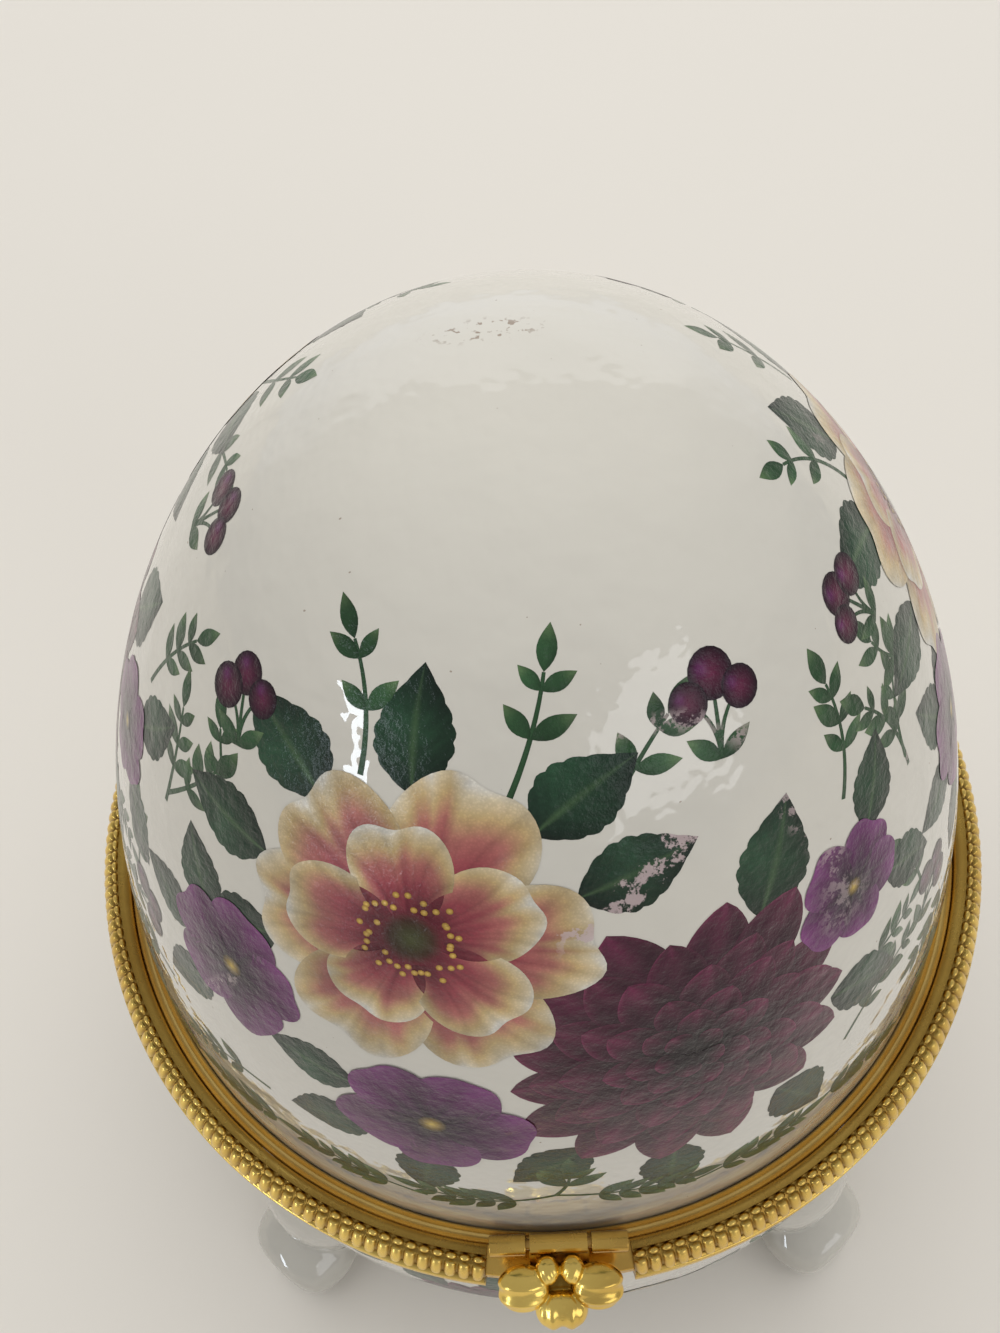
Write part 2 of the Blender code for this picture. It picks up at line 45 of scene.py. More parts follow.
MM = 0.001
SEAM_Z = 64.0 * MM
RIM_RADIUS = 48.2 * MM
LID_HEIGHT = 75.4 * MM
LID_ROUNDNESS = 0.94
LID_TAPER = 0.082
WALL = 3.6 * MM
BOWL_DEPTH = 56.0 * MM
BELLY_RADIUS = 53.0 * MM
BELLY_DEPTH = 19.0 * MM
BELLY_RISE = 46.0 * MM
BELLY_FULLNESS = 2.1
RIM_GAP = 1.15 * MM
NECK_HEIGHT = 3.2 * MM
SHOULDER_HEIGHT = 1.4 * MM
BAND_INNER = 50.0 * MM
BAND_OUTER = 53.2 * MM
BAND_TOP = 4.2 * MM
PLATE_OUTER = 52.4 * MM
JOINT_FILL = 0.27 * MM
HALF_SEAM = 0.15 * MM
HINGE_WIDTH = 24 * MM
KNUCKLES = 5
KNUCKLE_GAP = 0.3 * MM
CLASP_WIDTH = 14 * MM
PIN_Y = 55.8995 * MM
PIVOT_OUT = 49.536 * MM
PIVOT_Z = 68.957 * MM
TILT = radians(42.0)

BODIES = {1: "lid", -1: "base"}
TURNED_STEPS = 256


# -------- colours
def srgb(red, green, blue):
    """Linear colour from the 0 to 255 values that a picture shows."""
    values = np.array([red, green, blue]) / 255
    return np.where(values <= 0.04045, values / 12.92, ((values + 0.055) / 1.055) ** 2.4)


WHITE, SPECK, SCRAPED = srgb(209, 205, 194), srgb(120, 92, 62), srgb(196, 176, 176)
DEEP_ROSE, ROSE, BLUSH = srgb(100, 34, 46), srgb(148, 68, 76), srgb(172, 106, 98)
STRAW, CREAM, PALE = srgb(190, 164, 116), srgb(204, 190, 160), srgb(210, 206, 196)
BLACK_WINE, WINE, CLARET = srgb(26, 10, 20), srgb(58, 18, 38), srgb(90, 30, 58)
DUSK, PURPLE, MALLOW = srgb(46, 12, 46), srgb(82, 24, 76), srgb(110, 48, 104)
FOREST, GREEN, MOSS = srgb(12, 26, 18), srgb(28, 54, 36), srgb(66, 92, 60)
SPRIG, SPRIG_PALE = srgb(46, 78, 48), srgb(88, 112, 74)
ROSE_EYE = [(0, srgb(70, 74, 40)), (0.6, srgb(52, 40, 22)), (1, DEEP_ROSE)]
STAMEN = [(0, srgb(214, 182, 96)), (1, srgb(160, 118, 48))]
VIOLET_EYE = [(0, srgb(196, 168, 80)), (0.5, srgb(120, 96, 40)), (1, BLACK_WINE)]


# -------- node helpers
def new_material(name):
    material = bpy.data.materials.new(name)
    material.use_nodes = True
    tree = material.node_tree
    return material, tree, tree.nodes["Principled BSDF"]


def join(socket, value):
    """Links an output to a socket, or sets a constant on it."""
    if isinstance(value, bpy.types.NodeSocket):
        socket.id_data.links.new(value, socket)
    else:
        socket.default_value = (*value[:3], 1.0) if socket.type == "RGBA" else value


def fill(node, **inputs):
    """Sets or links inputs by name, with _ for a space, or by number, as _0."""
    for key, value in inputs.items():
        join(node.inputs[int(key[1:]) if key[0] == "_" else key.replace("_", " ")], value)


def put(tree, kind, output=0, settings=None, **inputs):
    """Adds a node, sets or links its inputs, and returns one of its outputs."""
    node = tree.nodes.new("ShaderNode" + kind)
    for key, value in (settings or {}).items():
        setattr(node, key, value)
    fill(node, **inputs)
    return node.outputs[output]


def tree_of(*values):
    """The node tree of the first value that is a node's output."""
    return next(value.id_data for value in values if isinstance(value, bpy.types.NodeSocket))


def maths(operation, a, b=0.0):
    return put(tree_of(a, b), "Math", 0, {"operation": operation}, _0=a, _1=b)


def times(product, *values):
    for value in values:
        product = maths("MULTIPLY", product, value)
    return product


def apart(a, b):
    """How far two values are apart."""
    return maths("ABSOLUTE", maths("SUBTRACT", a, b))


def vector(operation, a, b=(0.0, 0.0, 0.0), output=0):
    return put(tree_of(a), "VectorMath", output, {"operation": operation}, _0=a, _1=b)


def dot(a, b):
    return vector("DOT_PRODUCT", a, b, "Value")


def length_of(a):
    return vector("LENGTH", a, output="Value")


def ramp(value, low, high, start=0.0, end=1.0):
    """A smooth step from start to end as the value goes from low to high."""
    settings = {"interpolation_type": "SMOOTHSTEP"}
    return put(tree_of(value), "MapRange", 0, settings, _0=value, _1=low, _2=high, _3=start, _4=end)


def blend_colours(share, a, b, mode="MIX"):
    settings = {"data_type": "RGBA", "blend_type": mode}
    return put(tree_of(share, a), "Mix", 2, settings, _0=share, _6=a, _7=b)


def place_in(tree):
    return put(tree, "TexCoord", "Object")


def noise(tree, scale, detail=3.0, roughness=0.5):
    return put(tree, "TexNoise", "Fac", Vector=place_in(tree), Scale=scale, Detail=detail,
               Roughness=roughness)


def bump(height, strength, distance, **more):
    return put(tree_of(height), "Bump", Height=height, Strength=strength, Distance=distance, **more)


# -------- materials
GLAZE = {"Roughness": 0.022, "IOR": 1.5,
         "Coat_Weight": 0.6, "Coat_Roughness": 0.015, "Coat_IOR": 1.55}
PRINTED = {"Roughness": 0.30, "IOR": 1.18,
           "Coat_Weight": 0.6, "Coat_Roughness": 0.035, "Coat_IOR": 1.42}
SPECKS_AT = (-0.002, 0.0067, 0.1386)
SPECKS_NARROWNESS = (170.0, 500.0, 100.0)


def glaze_waves(tree):
    """The glaze's slow waves, its ripples, gentler by the parting, and a fine orange peel."""
    height = put(tree, "SeparateXYZ", 2, _0=place_in(tree))
    gentle = ramp(apart(height, SEAM_Z), 0.004, 0.022, 0.4, 1.0)
    ripple = times(noise(tree, 260.0, 2.0), gentle, 0.42)
    waves = maths("ADD", noise(tree, 55.0, 1.0), ripple)
    peel = times(noise(tree, 1100.0, 1.0), 0.01)
    return bump(maths("ADD", waves, peel), 1.0, 0.0006)


def porcelain_material(name, specks, shade=1.0):
    """Clouded white glaze, for the lid with brown specks at its top and pores all over; a shade
    factor below 1 darkens it all as painted shade.
    """
    material, tree, shader = new_material(name)
    cloud = ramp(noise(tree, 28.0), 0.3, 0.7)
    colour = blend_colours(cloud, WHITE * 0.96 * shade, WHITE * 1.03 * shade)
    if specks:
        away = vector("SUBTRACT", place_in(tree), SPECKS_AT)
        away = length_of(vector("MULTIPLY", away, SPECKS_NARROWNESS))
        grain = ramp(noise(tree, 1700.0, 2.0), 0.56, 0.64)
        spots = times(grain, ramp(away, 0.4, 1.0, 1.0, 0.0), 0.75)
        pores = ramp(noise(tree, 2300.0, 0.0), 0.88, 0.895, 0.0, 0.6)
        colour = blend_colours(maths("MAXIMUM", spots, pores), colour, SPECK)
    waves = glaze_waves(tree)
    fill(shader, Base_Color=colour, Normal=waves, Coat_Normal=waves, **GLAZE)
    return material


def scuff(tree, place):
    """A ragged scrape across the front of the lid's print, as a share from 0 to 1."""
    start, end = Vector((16.7, -22.1, 124.6)) * MM, Vector((1.2, -34.1, 115.1)) * MM
    along = (end - start).normalized()
    across = along.cross(Vector((0.28, -0.85, 0.45))).normalized()
    away = vector("SUBTRACT", place, (start + end) / 2)
    wander = times(maths("SUBTRACT", noise(tree, 420.0, 4.0, 0.65), 0.5), 0.007)
    off = maths("ABSOLUTE", maths("ADD", dot(away, across), wander))
    line = ramp(off, 0.0006, 0.0009, 1.0, 0.0)
    ends = ramp(maths("ABSOLUTE", dot(away, along)), 0.009, 0.012, 1.0, 0.0)
    holes = ramp(noise(tree, 1300.0, 4.0, 0.7), 0.42, 0.50)
    return times(line, ends, holes)


def print_material():
    """The printed flowers: the mesh's own colours, broken up by ink grain, dots and wear."""
    material, tree, shader = new_material("printed_glaze")
    ink = put(tree, "Attribute", "Color", {"attribute_name": "ink"})
    place = place_in(tree)
    soft = ramp(noise(tree, 260.0, 4.0, 0.6), 0.25, 0.75, 0.80, 1.25)
    dots = put(tree, "TexVoronoi", "Distance", Vector=place, Scale=4200.0)
    mottle = times(soft, ramp(dots, 0.15, 0.6, 1.06, 0.94))
    grey = put(tree, "CombineXYZ", X=mottle, Y=mottle, Z=mottle)
    ink = blend_colours(1.0, ink, grey, "MULTIPLY")
    line = ramp(apart(noise(tree, 17.0, 1.0), 0.53), 0.0015, 0.010, 1.0, 0.0)
    flecks = ramp(noise(tree, 800.0, 6.0, 0.7), 0.50, 0.56)
    patches = ramp(noise(tree, 60.0, 2.0), 0.54, 0.62)
    flaked, scraped = times(line, flecks, patches, 0.55), times(scuff(tree, place), 0.8)
    ink = blend_colours(maths("MAXIMUM", flaked, scraped), ink, SCRAPED)
    scratches = bump(noise(tree, 1000.0, 4.0, 0.65), 1.0, 0.00016, Normal=glaze_waves(tree))
    fill(shader, Base_Color=ink, Normal=scratches, Coat_Normal=scratches, **PRINTED)
    return material


def gilt_material(name, bright, dark, roughness, hollows=False, metallic=1.0):
    """Gilt brass, tarnished in patches and, on pieces that state them, darkened in their hollows by
    painted shade.
    """
    material, tree, shader = new_material(name)
    bright, dark = srgb(*bright), srgb(*dark)
    patches = ramp(noise(tree, 90.0, 5.0, 0.6), 0.35, 0.70)
    colour = blend_colours(times(patches, 0.45), bright, dark)
    if hollows:
        # painted shade: each point's share darkens the gilt towards a deep brown
        depth = put(tree, "Attribute", "Fac", {"attribute_name": "hollow_shade"})
        colour = blend_colours(depth, colour, dark * 0.45)
    smear = noise(tree, 260.0, 4.0, 0.6)
    fill(shader, Base_Color=colour, Metallic=metallic,
         Roughness=ramp(smear, 0.3, 0.7, roughness * 0.75, roughness * 1.3),
         Normal=bump(noise(tree, 1800.0), 0.12, 0.0001))
    return material


PORCELAIN = porcelain_material("glazed_porcelain", True)
PLAIN_PORCELAIN = porcelain_material("plain_porcelain", False)
# painted shade: the feet's white glaze is darkened, as if they lay in the bowl's shadow
SHADED_FOOT_PORCELAIN = porcelain_material("foot_porcelain", False, 0.84)
PRINT = print_material()
RIBBED = gilt_material("ribbed_gilt", (246, 212, 118), (196, 150, 68), 0.26, True)
SMOOTH = gilt_material("smooth_gilt", (246, 210, 124), (202, 160, 84), 0.20, True, 0.82)
CAST = gilt_material("cast_gilt", (248, 214, 116), (186, 142, 60), 0.22, True)
# painted shade: the hinge and clasp fittings' gilt is darker and browner than the rest, as if they
# lay in shade
SHADED_FITTING = gilt_material("fitting_gilt", (222, 182, 94), (166, 124, 60), 0.26)
PIN = gilt_material("drawn_brass", (190, 152, 84), (120, 92, 46), 0.3)


# -------- mesh helpers
def linked(name, data):
    """A new object in the scene."""
    made = bpy.data.objects.new(name, data)
    scene.collection.objects.link(made)
    return made


def new_piece(name, vertices, faces, material, body, slot, *replaced):
    """A smoothly shaded piece that rides a body."""
    mesh = bpy.data.meshes.new(name)
    mesh.from_pydata(np.asarray(vertices).reshape(-1, 3).tolist(), [], faces)
    mesh.update()
    mesh.shade_smooth()
    mesh.materials.append(material)
    piece = linked(name, mesh)
    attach(piece, body)
    if replaced:
        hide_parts(*replaced)
    return piece


def outwards(piece):
    """Turns a closed mesh's faces outwards."""
    work = bmesh.new()
    work.from_mesh(piece.data)
    bmesh.ops.recalc_face_normals(work, faces=work.faces)
    work.to_mesh(piece.data)
    work.free()
    return piece


def unit(rows):
    """Rows of (x, y), each made 1 long."""
    return rows / np.hypot(rows[:, :1], rows[:, 1:])


def smoothstep(low, high, value):
    share = np.clip((value - low) / (high - low), 0, 1)
    return share * share * (3 - 2 * share)


def grid_faces(rows, columns, wrap=False, start=0):
    """Quads of a grid of points stored row by row."""
    faces = []
    for row in range(rows - 1):
        for column in range(columns if wrap else columns - 1):
            a = start + row * columns + column
            b = start + row * columns + (column + 1) % columns
            faces.append((a, b, b + columns, a + columns))
    return faces


def tube_faces(rows, columns):
    """Quads round a tube stored ring by ring, and a flat face at each end."""
    last = (rows - 1) * columns
    ends = [tuple(range(columns)), tuple(last + k for k in reversed(range(columns)))]
    return grid_faces(rows, columns, True) + ends


def ball_faces(rows, columns):
    """Faces of a ball stored ring by ring, with its two tips after the rings."""
    tip, last = rows * columns, (rows - 1) * columns
    faces = [face[::-1] for face in grid_faces(rows, columns, True)]
    faces += [(tip, k, (k + 1) % columns) for k in range(columns)]
    return faces + [(tip + 1, last + (k + 1) % columns, last + k) for k in range(columns)]


def around(section, angles):
    """Points of a section of (radius, z), or of one section for each angle, turned to angles."""
    section = np.broadcast_to(section, (len(angles), *np.shape(section)[-2:]))
    ring = np.stack([np.cos(angles), np.sin(angles)], -1)
    return np.concatenate([section[..., :1] * ring[:, None], section[..., 1:]], -1)


def lathe(profile, steps):
    """Vertices and faces of a profile of (radius, z), from axis to axis or closed, turned once."""
    profile = np.array(profile)
    closed = profile[0, 0] > 0
    rows = profile if closed else profile[1:-1]
    vertices = around(rows, np.arange(steps) * tau / steps).swapaxes(0, 1).reshape(-1, 3)
    if not closed:
        vertices = np.vstack([vertices, [0, 0, profile[0, 1]], [0, 0, profile[-1, 1]]])
        return vertices, ball_faces(len(rows), steps)
    last = (len(rows) - 1) * steps
    faces = [face[::-1] for face in grid_faces(len(rows), steps, True)]
    faces += [(k, (k + 1) % steps, last + (k + 1) % steps, last + k) for k in range(steps)]
    return vertices, faces


def swept(section, start, sweep, steps):
    """A closed section of (radius, z) swept round the egg's axis, with flat ends."""
    points = around(section, start + sweep * np.arange(steps + 1) / steps)
    return points.reshape(-1, 3), tube_faces(*points.shape[:2])


def merged(parts):
    """Points and faces of several parts, as one part."""
    vertices, faces, start = [], [], 0
    for points, polygons in parts:
        vertices.append(np.asarray(points).reshape(-1, 3))
        faces += [tuple(start + k for k in face) for face in polygons]
        start += len(vertices[-1])
    return np.concatenate(vertices), faces


def assembled(node, ending, parts, material, body, slot, sharp=40):
    """One object in a node's place from several closed parts."""
    piece = new_piece(f"{node}_{ending}", *merged(parts), material, body, slot, node)
    outwards(piece).data.set_sharp_from_angle(angle=radians(sharp))
    return piece


def moved(part, matrix):
    points = np.asarray(part[0]) @ np.array(matrix.to_3x3()).T + np.array(matrix.translation)
    return points, part[1]


# -------- porcelain
def lid_radius(z, inset=0.0):
    """Outer or inset radius of the lid at heights z."""
    share = np.clip((np.asarray(z, float) - SEAM_Z) / (LID_HEIGHT - inset), 0.0, 1.0)
    return (RIM_RADIUS - inset) * np.sqrt(1 - share ** 2) ** LID_ROUNDNESS * (1 - LID_TAPER * share)


def bowl_radius(z, inset=0.0):
    """Outer or inset radius of the bowl at heights z."""
    drop = SEAM_Z - np.asarray(z, float) - BELLY_DEPTH
    widest = BELLY_RADIUS - inset
    above = widest * np.sqrt(1 - np.clip(drop / (BELLY_RISE - inset), -1, 0) ** 2)
    share = np.clip(drop / (BOWL_DEPTH - BELLY_DEPTH - inset), 0, 1)
    below = widest * (1 - share ** BELLY_FULLNESS) ** (1 / BELLY_FULLNESS)
    return np.where(drop < 0, above, below)


def lid_heights(height, steps):
    """Heights from the lid's top down to its rim."""
    rim = asin(RIM_GAP / height)
    return [SEAM_Z + height * sin(pi / 2 + (rim - pi / 2) * (k / steps)) for k in range(steps + 1)]


def bowl_heights(top, inset, steps):
    """Heights from the bowl's rim down to its bottom."""
    lower = BOWL_DEPTH - BELLY_DEPTH - inset
    middle = SEAM_Z - BELLY_DEPTH
    upper = [top + (middle - top) * k / 24 for k in range(24)]
    return upper + [middle - lower * sin(pi / 2 * k / steps) for k in range(steps + 1)]


def make_shell(profile, name, *rest):
    """A turned shell whose profile starts and ends on the axis."""
    profile[0], profile[-1] = (0.0, profile[0][1]), (0.0, profile[-1][1])
    outwards(new_piece(name, *lathe(profile, TURNED_STEPS), *rest))


def make_shells():
    outer = [(float(lid_radius(z)), z) for z in lid_heights(LID_HEIGHT, 150)]
    inner = [(float(lid_radius(z, WALL)), z) for z in lid_heights(LID_HEIGHT - WALL, 60)]
    make_shell(outer + inner[::-1], "lid_glazed_shell", PORCELAIN, "lid", "lid_porcelain",
               "lid_shell")
    neck_end = SEAM_Z - RIM_GAP - NECK_HEIGHT
    heights = bowl_heights(neck_end - SHOULDER_HEIGHT, 0, 110)
    outer = [(RIM_RADIUS, SEAM_Z - RIM_GAP), (RIM_RADIUS, neck_end)]
    outer += [(float(bowl_radius(z)), z) for z in heights]
    heights = bowl_heights(SEAM_Z - RIM_GAP, WALL, 60)
    inner = [(float(bowl_radius(z, WALL)), z) for z in heights]
    make_shell(inner[::-1] + outer, "bowl_glazed_shell", PLAIN_PORCELAIN, "base", "bowl_porcelain",
               "bowl_shell")


# -------- printed garland
class Print:
    """Flat patches with colours, laid on a surface of revolution in layers."""

    LIFT = 0.005 * MM
    REACH = 42 * MM
    SLOPE_STEP = 0.05 * MM

    def __init__(self, radius_of, base):
        self.radius_of, self.base = radius_of, base
        self.vertices, self.normals, self.inks, self.faces = [], [], [], []
        self.count = 0

    def slope(self, z):
        step = self.SLOPE_STEP
        return (self.radius_of(z + step) - self.radius_of(z - step)) / (2 * step)

    def at(self, middle, azimuth, rise):
        """A function that lays patches at one place, with its normal and two tangents."""
        azimuth, z = middle + radians(azimuth), self.base + rise * MM
        radius, slope = float(self.radius_of(z)), float(self.slope(z))
        flat = np.array([sin(azimuth), -cos(azimuth), 0.0])
        normal = flat / hypot(1, slope) + np.array([0, 0, -slope / hypot(1, slope)])
        right = np.array([cos(azimuth), sin(azimuth), 0.0])
        return partial(self.lay, flat * radius + [0, 0, z], normal, right, np.cross(normal, right))

    def lay(self, spot, normal, right, up, points, inks, layer):
        """Lays a grid of flat points, in metres from the spot, on the surface."""
        rows, columns, _ = points.shape
        flat = points.reshape(-1, 2)
        far = np.hypot(flat[:, 0], flat[:, 1])
        angle = (far / self.REACH)[:, None]
        across = flat / np.maximum(far, 1e-9)[:, None]
        ways = (np.cos(angle) * normal
                + np.sin(angle) * (across[:, :1] * right + across[:, 1:] * up))
        start = spot - normal * self.REACH
        low, high = np.full(len(flat), 0.5 * self.REACH), np.full(len(flat), 1.6 * self.REACH)
        for _ in range(40):
            middle = (low + high) / 2
            found = start + ways * middle[:, None]
            inside = np.hypot(found[:, 0], found[:, 1]) < self.radius_of(found[:, 2])
            low, high = np.where(inside, middle, low), np.where(inside, high, middle)
        found = start + ways * low[:, None]
        slope = self.slope(found[:, 2])
        outer = np.column_stack([unit(found[:, :2]), -slope]) / np.sqrt(1 + slope ** 2)[:, None]
        self.vertices.append(found + outer * (2 + layer) * self.LIFT)
        self.normals.append(outer)
        self.inks.append(inks.reshape(-1, 3))
        laid = found.reshape(rows, columns, 3)
        y, x = rows // 2, columns // 2
        front = np.cross(laid[y, x + 1] - laid[y, x], laid[y + 1, x] - laid[y, x])
        facing = front @ outer[y * columns + x] > 0
        faces = grid_faces(rows, columns, False, self.count)
        self.faces += faces if facing else [face[::-1] for face in faces]
        self.count += len(flat)

    def piece(self, name, body, slot):
        made = new_piece(name, np.concatenate(self.vertices), self.faces, PRINT, body, slot)
        ink = made.data.attributes.new("ink", "FLOAT_COLOR", "POINT")
        inks = np.concatenate(self.inks)
        ink.data.foreach_set("color", np.column_stack([inks, np.ones(len(inks))]).ravel())
        made.data.normals_split_custom_set_from_vertices(np.concatenate(self.normals).tolist())


def turned(points, angle, offset=(0.0, 0.0)):
    """Points turned so that +Y goes to the given angle, clockwise, then moved."""
    c, s = cos(angle), sin(angle)
    x, y = points[..., 0], points[..., 1]
    return np.stack([x * c + y * s + offset[0], -x * s + y * c + offset[1]], -1)


def shades(stops, share):
    """Colours at shares from 0 to 1 along a list of (share, colour)."""
    places = [stop[0] for stop in stops]
    table = np.array([stop[1] for stop in stops])
    return np.stack([np.interp(share, places, table[:, k]) for k in range(3)], -1)


def tinted(inks, *factors):
    """Colours times factors that have a value for each point."""
    for factor in factors:
        inks = inks * factor[..., None]
    return inks


def grid(rows, columns, start=-1.0, end=1.0):
    """Shares along a patch, down a column, and places across it, along a row."""
    return np.linspace(0.0, 1.0, rows)[:, None], np.linspace(start, end, columns)[None]


def fan_petal(length, spread, notch, ruffle, seed, rows=27, columns=29):
    """A broad petal as part of a disc: rows go outwards, columns go across."""
    draw = np.random.default_rng(seed).uniform
    b, a = grid(rows, columns)
    wave = sum(draw(-1, 1) * np.sin(a * k * 2.1 + draw(0, 6)) for k in (1, 2, 3))
    edge = length * (1 - 0.42 * np.abs(a) ** 2.6) * (1 + ruffle * wave)
    edge = edge - length * notch * np.exp(-(a / 0.22) ** 2)
    turn = spread * a * (1.0 - 0.30 * np.sin(pi * b))
    points = np.stack([edge * b * np.sin(turn), edge * b * np.cos(turn)], -1)
    return points, *np.broadcast_arrays(a, b, wave)


def blade(length, width, belly, bend, rows, columns, teeth=0, tip=1.0):
    """A leaf or strap petal: rows go from the foot to the tip."""
    b, a = grid(rows, columns)
    half = width / 2 * np.sin(pi * b ** belly) ** tip
    half = half * (1 + 0.08 * np.abs(np.sin(b * pi * teeth)))
    a, b, half = np.broadcast_arrays(a, b, half)
    return np.stack([half * a + bend * b ** 2, length * b], -1), a, b


def disc(lay, spot, radius, stops, layer, columns=17):
    b, a = grid(4, columns, 0.0, tau)
    points = np.stack([spot[0] + radius * b * np.sin(a), spot[1] + radius * b * np.cos(a)], -1)
    lay(points, shades(stops, b + 0 * a), layer)


def pink_bloom(lay, radius, turn, seed, layer):
    """A wide open flower: two rings of notched petals round a ring of stamens."""
    radius *= MM
    draw = np.random.default_rng(seed).uniform
    stops = [(0.0, DEEP_ROSE * 0.8), (0.26, DEEP_ROSE), (0.52, ROSE), (0.70, BLUSH),
             (0.84, STRAW), (0.95, CREAM), (1.0, PALE)]
    disc(lay, (0, 0), radius * 0.45, [(0, DEEP_ROSE * 0.6), (1, DEEP_ROSE)], layer - 0.5)
    rings = ((1.0, 6, 0.0, 0.66), (0.72, 5, 0.5, 0.70))
    for ring, (share, count, lift, spread) in enumerate(rings):
        for k in range(count):
            angle = turn + (k + lift) * tau / count + draw(-0.08, 0.08)
            size = radius * share * draw(0.92, 1.04)
            points, a, b, wave = fan_petal(size, spread, 0.07, 0.03, seed + 10 * k + ring)
            fold = 0.5 + 0.5 * np.sin(a * 9 + wave * 3 + k)
            inks = shades(stops, np.clip(b + 0.10 * fold - 0.05 - 0.10 * np.abs(a), 0, 1))
            side = 1 - 0.45 * smoothstep(0.45, 1.0, a) * (1 - 0.4 * b)
            vein = 1 - 0.16 * (np.sin(a * 30 + wave * 2) ** 8 * smoothstep(0.1, 0.5, b))
            lay(turned(points, angle), tinted(inks, side, vein),
                layer + 2 * ring + (k % 2) * 0.8 + k * 0.1)
    disc(lay, (0, 0), radius * 0.17, ROSE_EYE, layer + 5)
    for k in range(38):
        angle, far = k * tau / 38 + draw(-0.06, 0.06), radius * draw(0.18, 0.29)
        disc(lay, (far * sin(angle), far * cos(angle)), radius * 0.019, STAMEN, layer + 6, 9)


def wine_bloom(lay, radius, turn, seed, layer):
    """A full flower of many strap petals in rings that get smaller and darker inwards."""
    draw = np.random.default_rng(seed).uniform
    rings = ((1.0, 14), (0.84, 13), (0.67, 11), (0.50, 9), (0.34, 7), (0.20, 5))
    for ring, (share, count) in enumerate(rings):
        for k in range(count):
            angle = turn + (k + 0.5 * (ring % 2)) * tau / count + draw(-0.05, 0.05)
            size = radius * MM * share * draw(0.93, 1.05)
            width, bend = size * 3.0 / count ** 0.72 * 0.82, size * draw(-0.06, 0.06)
            points, a, b = blade(size, width, 1.9, bend, 25, 11, 0, 0.75)
            glow = draw(0.75, 1.2)
            stops = [(0.0, BLACK_WINE), (0.45, BLACK_WINE), (0.72, WINE), (0.93, CLARET * glow),
                     (1.0, CLARET * 1.35)]
            inks = shades(stops, np.clip(b + 0.05 * np.cos(a * 6), 0, 1))
            edge = 1 + 0.35 * smoothstep(0.72, 1.0, np.abs(a)) * b
            side = 1 - 0.40 * smoothstep(-0.1, 1.0, a)
            step = 0.45 * (k % 2) + 0.22 * (k == count - 1)
            lay(turned(points, angle), tinted(inks, edge, side), layer + ring + step)


def violet_bloom(lay, radius, turn, seed, layer):
    """A five-petalled purple flower with a dark eye."""
    radius *= MM
    draw = np.random.default_rng(seed).uniform
    stops = [(0.0, BLACK_WINE), (0.25, DUSK), (0.62, PURPLE), (0.93, MALLOW), (1.0, MALLOW * 1.2)]
    disc(lay, (0, 0), radius * 0.45, [(0, BLACK_WINE), (1, DUSK)], layer - 0.5)
    for k in range(5):
        angle = turn + k * tau / 5 + draw(-0.07, 0.07)
        size = radius * draw(0.92, 1.05)
        points, a, b, wave = fan_petal(size, 0.82, 0.05, 0.035, seed + k, 19, 23)
        share = np.clip(b - 0.12 * np.abs(a) + 0.06 * np.sin(8 * a + wave), 0, 1)
        inks = tinted(shades(stops, share), 1 - 0.38 * smoothstep(0.3, 1.0, a))
        lay(turned(points, angle), inks, layer + k * 0.2)
    disc(lay, (0, 0), radius * 0.15, VIOLET_EYE, layer + 2, 11)


def leaf(lay, foot, angle, length, width, tone, bend):
    """A toothed leaf with a pale midrib and two unlike halves."""
    points, a, b = blade(length * MM, width * MM, 0.82, bend * MM, 29, 15, 7)
    light = 0.75 + 0.75 * smoothstep(-1, 0.2, -a)
    vein = np.abs(np.sin((b - 0.30 * np.abs(a)) * 22)) ** 6
    vein = 1 + 0.30 * vein * smoothstep(0.05, 0.3, np.abs(a))
    inks = tinted(shades([(0.0, FOREST), (0.5, GREEN), (1.0, FOREST * 1.2)], b), light, vein)
    rib = (np.exp(-(a / 0.085) ** 2) * (1 - 0.5 * b))[..., None]
    inks = inks * (1 - rib) + MOSS * rib
    lay(turned(points, angle, np.array(foot) * MM), inks * tone, 0)


def small_leaf(lay, foot, angle, size, draw, layer):
    points, a, b = blade(size, size * draw(0.40, 0.5), 0.9, 0.0, 9, 5)
    tone = draw(0.8, 1.2)
    inks = shades([(0, SPRIG * 0.7), (0.6, SPRIG), (1, SPRIG_PALE)], b) * tone
    lay(turned(points, angle, foot), tinted(inks, 1 - 0.3 * smoothstep(0.0, 1.0, a)), layer)


def stem(lay, route, width, colour, layer):
    """A thin line along a bent route of three points."""
    first, bend, last = np.array(route)
    share = np.linspace(0, 1, 14)[:, None]
    line = (1 - share) ** 2 * first + 2 * share * (1 - share) * bend + share ** 2 * last
    along = unit(np.gradient(line, axis=0))
    across = np.stack([-along[:, 1], along[:, 0]], -1) * (width / 2 * (1.15 - 0.5 * share))
    inks = np.stack([colour * 0.8, colour * 1.15, colour * 0.9])[None].repeat(14, 0)
    lay(np.stack([line - across, line, line + across], 1), inks, layer)
    return line, along


def sprig(lay, angle, length, pairs, seed, layer, leaf_size):
    """A curved stem with pairs of small leaves and one at its tip."""
    length, leaf_size = length * MM, leaf_size * MM
    draw = np.random.default_rng(seed).uniform
    lean = draw(-0.25, 0.25)
    route = np.array([[0, 0], [lean * length, length * 0.55], [0.1 * lean * length, length]])
    line, along = stem(lay, turned(route, angle), 0.42 * MM, SPRIG * 0.85, layer)
    heading = np.arctan2(along[:, 0], along[:, 1])
    for k in range(pairs):
        at = int(3 + (10 * (k + 0.6)) / pairs)
        for side in (-1, 1):
            size = leaf_size * draw(0.8, 1.15) * (1 - 0.25 * k / pairs)
            way = heading[at] + side * draw(0.7, 0.95)
            small_leaf(lay, line[at], way, size, draw, layer + 0.4)
    small_leaf(lay, line[-1], heading[-1], leaf_size, draw, layer + 0.5)


def sprigs(at, seed, layer, leaf_size, places):
    for k, (azimuth, rise, *shape) in enumerate(places):
        sprig(at(azimuth, rise), *shape, seed + k, layer, leaf_size)


